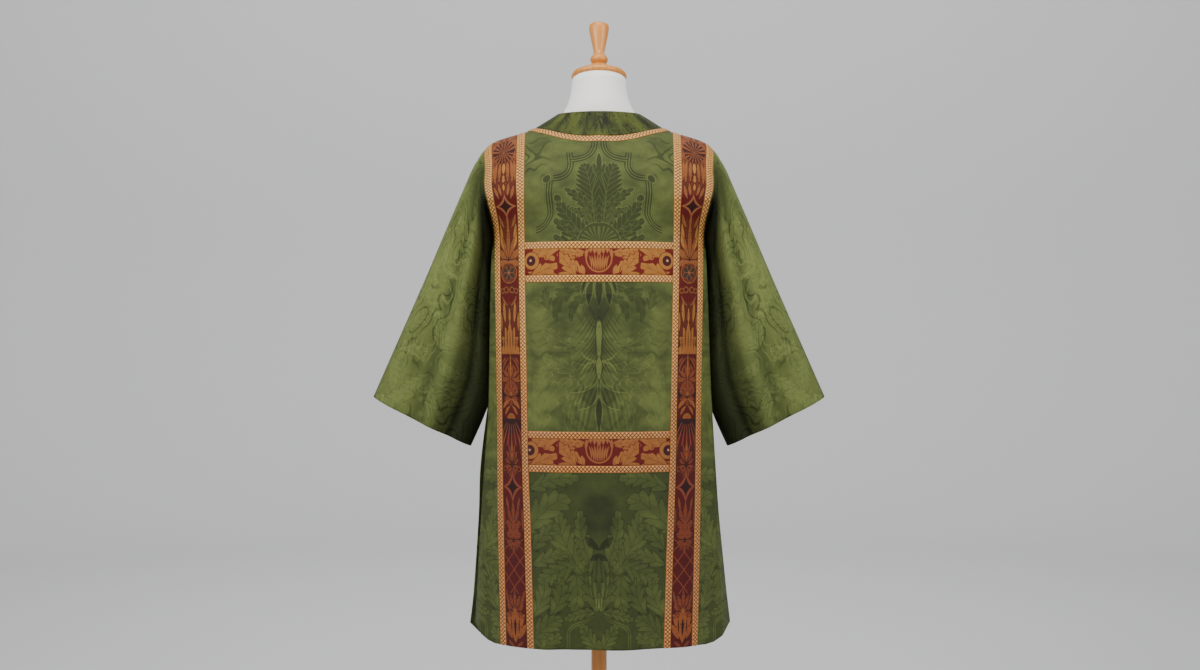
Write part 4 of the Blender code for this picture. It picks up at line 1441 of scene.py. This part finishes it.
# The woven figure as a tone: 0 deep, 1 light
def damaskColour(recipe, u, v):
    s = abs(u).bounce(0.158) + (v * 74).sine() * 0.0016
    v = v + (s * 88).sine() * 0.0018
    inYoke = inside(v - 0.348, 0.02)
    inSkirt = inside(0.775 - v, 0.02)
    inMiddle = (1 - inYoke) * (1 - inSkirt)
    cloud = recipe.noise(recipe.vector(s, v * 1.5), 20, 2.0, 0.55) - 0.5
    tone = yokeTone(s, v, cloud) * inYoke + middleTone(s, v, cloud) * inMiddle
    tone = tone + skirtTone(s, v, cloud) * inSkirt + abs(u).step(0.172, 0.19) * 0.1
    colour = recipe.mix(tone.step(-0.1, 0.6), damaskTones["deep"], damaskTones["middle"])
    return recipe.mix(tone.step(0.42, 1.05), colour, damaskTones["light"])


# Finishes

# Fine threads crossing, as a height for the bump
def threads(u, v, pitch):
    turn = 2 * math.pi / pitch
    return (u * turn).sine() * (v * turn).sine()


# Uneven yarns that run across and along the cloth
def yarns(recipe, u, v):
    across = recipe.noise(recipe.vector(u * 70, v * 1300, 1.7), 1.0, 2.0, 0.6)
    along = recipe.noise(recipe.vector(u * 1300, v * 70, 5.1), 1.0, 2.0, 0.6)
    return across * 0.5 + along * 0.5


damaskFinish = {
    "yarnShade": (0.50, 0.56, 0.44),
    "roughness": (0.46, 0.66),
    "sheen": 0.03,
    "specular": 0.22,
    "threadPitch": 0.0012,
    "threadDepth": 0.00022,
    "creaseDepth": 0.0040,
}


def silk(name, colouring, finish):
    recipe = Recipe(name)
    u, v = recipe.cloth()
    yarn = yarns(recipe, u, v)
    colour = colouring(recipe, u, v)
    colour = recipe.mix(yarn.step(0.62, 0.38) * 0.34, colour, finish["yarnShade"], "MULTIPLY")
    low, high = finish["roughness"]
    height = threads(u, v, finish["threadPitch"]) * 0.5 + yarn * 1.2
    crease = recipe.noise(recipe.vector(u * 26, v * 7, 0.8), 1.0, 2.0, 0.5)
    creased = recipe.raised(crease, finish["creaseDepth"], 1.0)
    return recipe.finish(Base_Color=colour, Roughness=yarn * (high - low) + low,
                         Sheen_Weight=finish["sheen"], Sheen_Roughness=0.45,
                         Specular_IOR_Level=finish["specular"],
                         Normal=recipe.raised(height, finish["threadDepth"], 0.8, creased))


# Sleeves: the same cloth in a quieter figure, repeated, with painted shade where it rolls under the
# arm, along its upper fold and by the shoulder, and painted shade and highlight along its folds
sleeveFinish = dict(damaskFinish, sheen=0.0, specular=0.12)
sleeveTones = {
    "deep": (0.021, 0.030, 0.005),
    "light": (0.168, 0.200, 0.056),
    "shade": (0.050, 0.056, 0.022),
    "repeat": (0.110, 0.150),
    "halfGirth": (0.238, 0.285),
    # painted shade along a fold's valley, and painted highlight on a ridge where the strength is
    # below nought: its place round the sleeve at the shoulder, its drift, half width, softness and
    # strength
    "folds": (
        (0.34, 0.10, 0.045, 0.040, 0.30),
        (0.69, 0.06, 0.020, 0.045, 0.45),
        (0.48, 0.08, 0.040, 0.040, -0.18),
    ),
}
sleeveLeaves = (
    ((0.000, 0.030), (0.070, 0.000), 0.0160, 0.010, 4),
    ((0.100, 0.060), (0.040, 0.020), 0.0150, -0.008, 4),
    ((0.006, 0.120), (0.050, 0.052), 0.0180, 0.012, 5),
    ((0.110, 0.120), (0.070, 0.064), 0.0150, 0.008, 4),
    ((0.020, 0.150), (0.090, 0.136), 0.0130, 0.006, 4),
)


def quietFigure(recipe, u, v):
    wide, tall = sleeveTones["repeat"]
    s = (u + (v * 60).sine() * 0.003 + 0.012).bounce(wide)
    t = (v + (u * 50).sine() * 0.004 + 0.020).bounce(tall)
    leaves, veins = foliage(s, t, sleeveLeaves)
    cloud = recipe.noise(recipe.vector(u, v * 0.45, 3.0), 15, 2.5, 0.55)
    figure = inside(leaves, 0.002) * 0.10 - inside(veins, 0.0010) * 0.20
    lines = swirls(u, v, 12, 100) * -0.26 + swirls(u * 1.2, v + 0.4, 15, 90) * 0.22
    # the last term is painted shade, darker towards the cuff
    return 0.67 + figure + (cloud - 0.5) * 1.1 + lines - v.step(0.30, 0.46) * 0.10


def sleeveColour(recipe, u, v):
    tones = sleeveTones
    tone = quietFigure(recipe, u, v)
    narrow, wide = tones["halfGirth"]
    share = abs(u) / (v.step(0.18, 0.46) * (wide - narrow) + narrow)
    run = v * 1.8
    # painted shade in the folds' valleys, painted highlight on the ridge
    for at, drift, half, soft, strength in tones["folds"]:
        fold = inside(abs(share - run * drift - at) - half, soft) * strength
        tone = tone - fold * v.step(0.02, 0.12)
    colour = recipe.mix(tone.step(-0.05, 1.1), tones["deep"], tones["light"])
    # painted shade: darker where the sleeve rolls under the arm, along its upper fold, and next to
    # the orphrey by the shoulder
    paintedShade = share.step(0.34, 0.88) * 0.96 + share.step(0.09, 0.0) * 0.40
    paintedShade = paintedShade + v.step(0.120, 0.020) * share.step(0.08, 0.32) * 0.70
    return recipe.mix(paintedShade, colour, tones["shade"], "MULTIPLY")


collarTones = {
    "deep": (0.007, 0.010, 0.001),
    "light": (0.085, 0.104, 0.014),
}


def collarColour(recipe, u, v):
    tone = quietFigure(recipe, u * 1.6, v * 1.6)
    # painted shade and highlight: dark and light streaks across the collar's upright creases
    crease = recipe.noise(recipe.vector(u * 34, v * 14, 0.4), 1.0, 2.0, 0.6)
    tone = tone + (crease - 0.5) * 1.8 - 0.15
    return recipe.mix(tone.step(0.0, 1.1), collarTones["deep"], collarTones["light"])


brocadeFinish = {
    "yarnShade": (0.62, 0.52, 0.50),
    "roughness": (0.50, 0.68),
    "sheen": 0.04,
    "specular": 0.22,
    "threadPitch": 0.0011,
    "threadDepth": 0.00025,
    "creaseDepth": 0.0012,
}

galloonForm = {
    "pitch": 0.0078,         # from one crossing of the plait to the next
    "row": 0.0084,           # from one row of crossings to the next
    "half": 0.0060,          # half the width of the plait inside its selvedges
    "selvedge": 0.0071,      # where the golden edge begins, from the middle
    "yarnShade": (0.60, 0.52, 0.44),
}
galloonTones = {
    "ground": (0.540, 0.228, 0.042),
    "highlightAndPatchGold": (0.860, 0.450, 0.125),
    "speck": (0.040, 0.008, 0.002),
    "lowerTint": (0.76, 0.65, 0.65),
}


# How near the plait's crossing threads are: 1 on a thread
def plait(u, v):
    along = v * (2 * math.pi / galloonForm["pitch"])
    across = u * (2 * math.pi / galloonForm["row"])
    return (along + across).cosine().most((along - across).cosine())


# Gold braid: dark threads crossing in two rows of lozenges, between golden selvedges
def galloonColour(recipe, u, v):
    inRows = inside(abs(u) - galloonForm["half"], 0.0004)
    strands = plait(u, v)
    patch = recipe.noise(recipe.vector(u * 4.0, v, 2.0), 45, 2.0, 0.5)
    # painted highlight: paler gold on the raised crowns between the plait's crossing threads, with
    # random paler patches of gold
    highlightAndPatches = strands.step(0.35, -0.30) * inRows * 0.7 + patch.step(0.30, 0.70) * 0.30
    colour = recipe.mix(highlightAndPatches, galloonTones["ground"], galloonTones["highlightAndPatchGold"])
    edge = inside(galloonForm["selvedge"] - abs(u), 0.0003) * 0.5
    specks = strands.step(0.45, 0.80) * inRows * 0.88 + edge
    colour = recipe.mix(specks, colour, galloonTones["speck"])
    return darkerTowardsHem(recipe, colour, galloonTones["lowerTint"])


def braidFinish(name):
    recipe = Recipe(name)
    u, v = recipe.cloth()
    yarn = yarns(recipe, u, v)
    raised = plait(u, v) * inside(abs(u) - galloonForm["half"], 0.0008) * -0.8 - abs(u) * 120
    colour = galloonColour(recipe, u, v)
    colour = recipe.mix(yarn.step(0.60, 0.40) * 0.30, colour, galloonForm["yarnShade"], "MULTIPLY")
    return recipe.finish(Base_Color=colour, Roughness=yarn * 0.20 + 0.42, Sheen_Weight=0.04,
                         Sheen_Roughness=0.5, Specular_IOR_Level=0.35,
                         Normal=recipe.raised(raised * 0.5 + yarn, 0.0004, 0.9))


linenTones = {
    "yarn": (0.98, 0.96, 0.92),
    "shade": (0.91, 0.89, 0.85),
    "pitch": 0.0011,
}


def linenFinish(name):
    recipe = Recipe(name)
    place = recipe.objectPlace()
    blotch = recipe.noise(place, 14, 3.0, 0.6)
    fine = recipe.noise(place, 900, 2.0, 0.6)
    colour = recipe.mix(blotch * 0.5 + fine * 0.4, linenTones["yarn"], linenTones["shade"])
    x, y, z = recipe.parts(place)
    turn = 2 * math.pi / linenTones["pitch"]
    weave = ((x + y) * turn).sine() * (z * turn).sine()
    return recipe.finish(Base_Color=colour, Roughness=fine * 0.15 + 0.78, Sheen_Weight=0.3,
                         Normal=recipe.raised(weave * 0.5 + fine, 0.0003, 0.7))


woodTones = {
    "pale": (0.660, 0.270, 0.045),
    "warm": (0.540, 0.190, 0.025),
    "pore": (0.230, 0.095, 0.035),
}


# Turned beech: long soft figure with short dark flecks, under a worn wax
def woodFinish(name):
    recipe = Recipe(name)
    x, y, z = recipe.parts(recipe.objectPlace())
    drift = recipe.noise(recipe.vector(x * 6, y * 6, z * 1.2), 1.0, 2.0, 0.5)
    rings = ((x + drift * 0.05) * 520).sine() * 0.5 + 0.5
    grain = recipe.noise(recipe.vector(x * 90, y * 90, z * 9), 1.0, 4.0, 0.6)
    flecks = recipe.noise(recipe.vector(x * 900, y * 900, z * 70), 1.0, 2.0, 0.6).step(0.62, 0.74)
    colour = recipe.mix(rings * 0.45 + grain * 0.5, woodTones["pale"], woodTones["warm"])
    colour = recipe.mix(flecks * 0.55, colour, woodTones["pore"])
    return recipe.finish(Base_Color=colour, Roughness=grain * 0.25 + 0.28,
                         Coat_Weight=0.15, Coat_Roughness=0.25,
                         Normal=recipe.raised(grain - flecks * 0.6, 0.0004, 0.5))


damask = silk("green_damask", damaskColour, damaskFinish)
sleeveDamask = silk("green_sleeve_damask", sleeveColour, sleeveFinish)
collarDamask = silk("green_collar_damask", collarColour, damaskFinish)
brocade = silk("figured_brocade", bandColour, brocadeFinish)
crossBrocade = silk("leaf_brocade", crossColour, brocadeFinish)
galloon = braidFinish("gold_galloon")
linen = linenFinish("form_linen")
wood = woodFinish("turned_beech")
print("finishes mixed")


# Everything is made and put on its body


# Puts a piece on its body in place of its node
def settle(piece, node):
    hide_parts(node)
    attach(piece, "root")


settle(makeForm(linen), "form_torso")
print("dress form made")

orphreySilks = {"band": brocade, "braid": galloon}
crossSilks = {"band": crossBrocade, "braid": galloon}
for side in (back, front):
    name = sideNames[side]
    panel = makePanel(side, damask)
    settle(panel, name + "_panel")
    for hand, part in product((left, right), orphreySplit):
        kind = kindOf(part)
        trim, node = makeOrphreyPart(side, hand, part, orphreySilks[kind])
        settle(trim, node)
    for level, part in product(crossTop, crossParts):
        kind = kindOf(part)
        trim, node = makeCrossPart(side, level, part, crossSilks[kind])
        settle(trim, node)
    trim, node = makeNeckBraid(side, galloon)
    settle(trim, node)
    print(name, "panel and its trims made")

for hand in (left, right):
    sleeve, node = makeSleeve(hand, sleeveDamask)
    settle(sleeve, node)
settle(makeCollar(collarDamask), "collar")
print("sleeves and collar made")

# Outlines of the turned pieces from the foot up, as radius and height
axis = turning["axis"]
bevel = 0.007
capRadius = 0.0573
capOutline = [
    (capRadius - bevel - 0.003, 0),
    *roundOff((capRadius - bevel, bevel + 0.001), bevel, -60, 80, 10),
    (0.049, 0.0165), (0.041, 0.0185), (0.033, 0.0230), (0.028, 0.0262), (0.024, 0.029),
    (0.0195, 0.0320), (0.016, 0.0335), (axis, 0.0335),
]
knobOutline = [
    (axis, 0.0338), (0.0100, 0.0338),
    *roundOff((0.0092, 0.0455), 0.0092, -60, 60, 8),
    (0.0112, 0.0585), (0.0118, 0.066), (0.0148, 0.080), (0.0172, 0.092), (0.0196, 0.105),
    (0.0206, 0.112), (0.0208, 0.1165), (0.0206, 0.1190), (0.0195, 0.1215), (0.0172, 0.1234),
    (0.0135, 0.1243), (axis, 0.1245),
]
baseRadius, bossTop = formShape["baseRadius"], formShape["baseBossTop"]
footOutline = [
    (axis, 0), (baseRadius - 0.010, 0),
    *roundOff((baseRadius - 0.0125, 0.0125), 0.0125, -50, 90, 12),
    (baseRadius - 0.040, 0.027), (0.060, 0.031), (0.034, 0.036), (0.031, 0.042),
    (0.030, 0.047), (0.028, 0.0505), (0.024, bossTop), (axis, bossTop),
]
poleRadius, edge = formShape["poleRadius"], 0.001
low = bossTop + formShape["gap"]
high = formShape["bottom"] - formShape["gap"]
poleOutline = [
    (axis, low), (poleRadius - edge, low), (poleRadius, low + edge),
    (poleRadius, high - edge), (poleRadius - edge, high), (axis, high),
]
onNeck = (formShape["neckTop"], formShape["capTilt"])
settle(turnPiece("neck_cap_turned", capOutline, wood, *onNeck), "neck_cap")
settle(turnPiece("finial_turned", knobOutline, wood, *onNeck), "finial")
settle(turnPiece("stand_foot_turned", footOutline, wood), "stand_base")
settle(turnPiece("stand_pole_turned", poleOutline, wood), "stand_pole")
print("stand made")


# Studio: a pale round sweep of paper, soft lights and the camera

studio = {
    "paper": (0.60, 0.60, 0.605),
    "reach": 7.0,            # from the middle to the wall, all round
    "cove": 1.8,
    "wallTop": 4.2,
    "sides": 96,
    "air": (0.9, 0.92, 0.95, 1),
    "airStrength": 0.24,
    "camera": (0.002, -3.6, 1.052),
    "lens": 52.17,
    "sensor": 36,
}


def makeSweep(material):
    reach, cove, sides = studio["reach"], studio["cove"], studio["sides"]
    bends = np.linspace(0, math.pi / 2, 13)
    curve = [(reach - cove + cove * math.sin(t), cove - cove * math.cos(t)) for t in bends]
    profile = [(0.5, 0.0), *curve, (reach, studio["wallTop"])]
    turns = np.linspace(0, 2 * math.pi, sides, endpoint=False)
    points = np.array([(r * math.cos(t), r * math.sin(t), z) for r, z in profile for t in turns])
    faces = [tuple(range(sides))]
    for row in range(len(profile) - 1):
        inner, outer = row * sides, (row + 1) * sides
        pairs = zip(range(sides), np.roll(range(sides), -1).tolist())
        faces += [(inner + i, outer + i, outer + j, inner + j) for i, j in pairs]
    return meshPiece("studio_sweep", points, faces, material)


paper = Recipe("studio_paper").finish(Base_Color=studio["paper"], Roughness=0.95)
makeSweep(paper)

# name: place, aim, size, watts
lamps = {
    "left_lamp": ((-3.0, -2.4, 2.5), (0, 0, 1.1), 1.8, 120),
    "right_lamp": ((3.0, -2.4, 2.3), (0, 0, 1.1), 1.8, 94),
    "top_lamp": ((0.0, -1.4, 3.7), (0, 0, 1.1), 1.8, 85),
    "wall_lamp": ((0.0, 2.8, 5.2), (0, 7.0, 0.9), 4.0, 225),
}
for name, (place, aim, size, watts) in lamps.items():
    light = bpy.data.lights.new(name, "AREA")
    light.size = size
    light.energy = watts
    lamp = stand(name, light)
    lamp.location = place
    lamp.rotation_euler = (Vector(aim) - Vector(place)).to_track_quat("-Z", "Y").to_euler()

world = bpy.data.worlds.new("studio_air")
world.use_nodes = True
air = world.node_tree.nodes["Background"]
air.inputs["Color"].default_value = studio["air"]
air.inputs["Strength"].default_value = studio["airStrength"]
bpy.context.scene.world = world

lens = bpy.data.cameras.new("camera")
lens.lens = studio["lens"]
lens.sensor_width = studio["sensor"]
camera = stand("camera", lens)
camera.location = studio["camera"]
camera.rotation_euler = (math.radians(90), 0, 0)
bpy.context.scene.camera = camera
print("studio made")
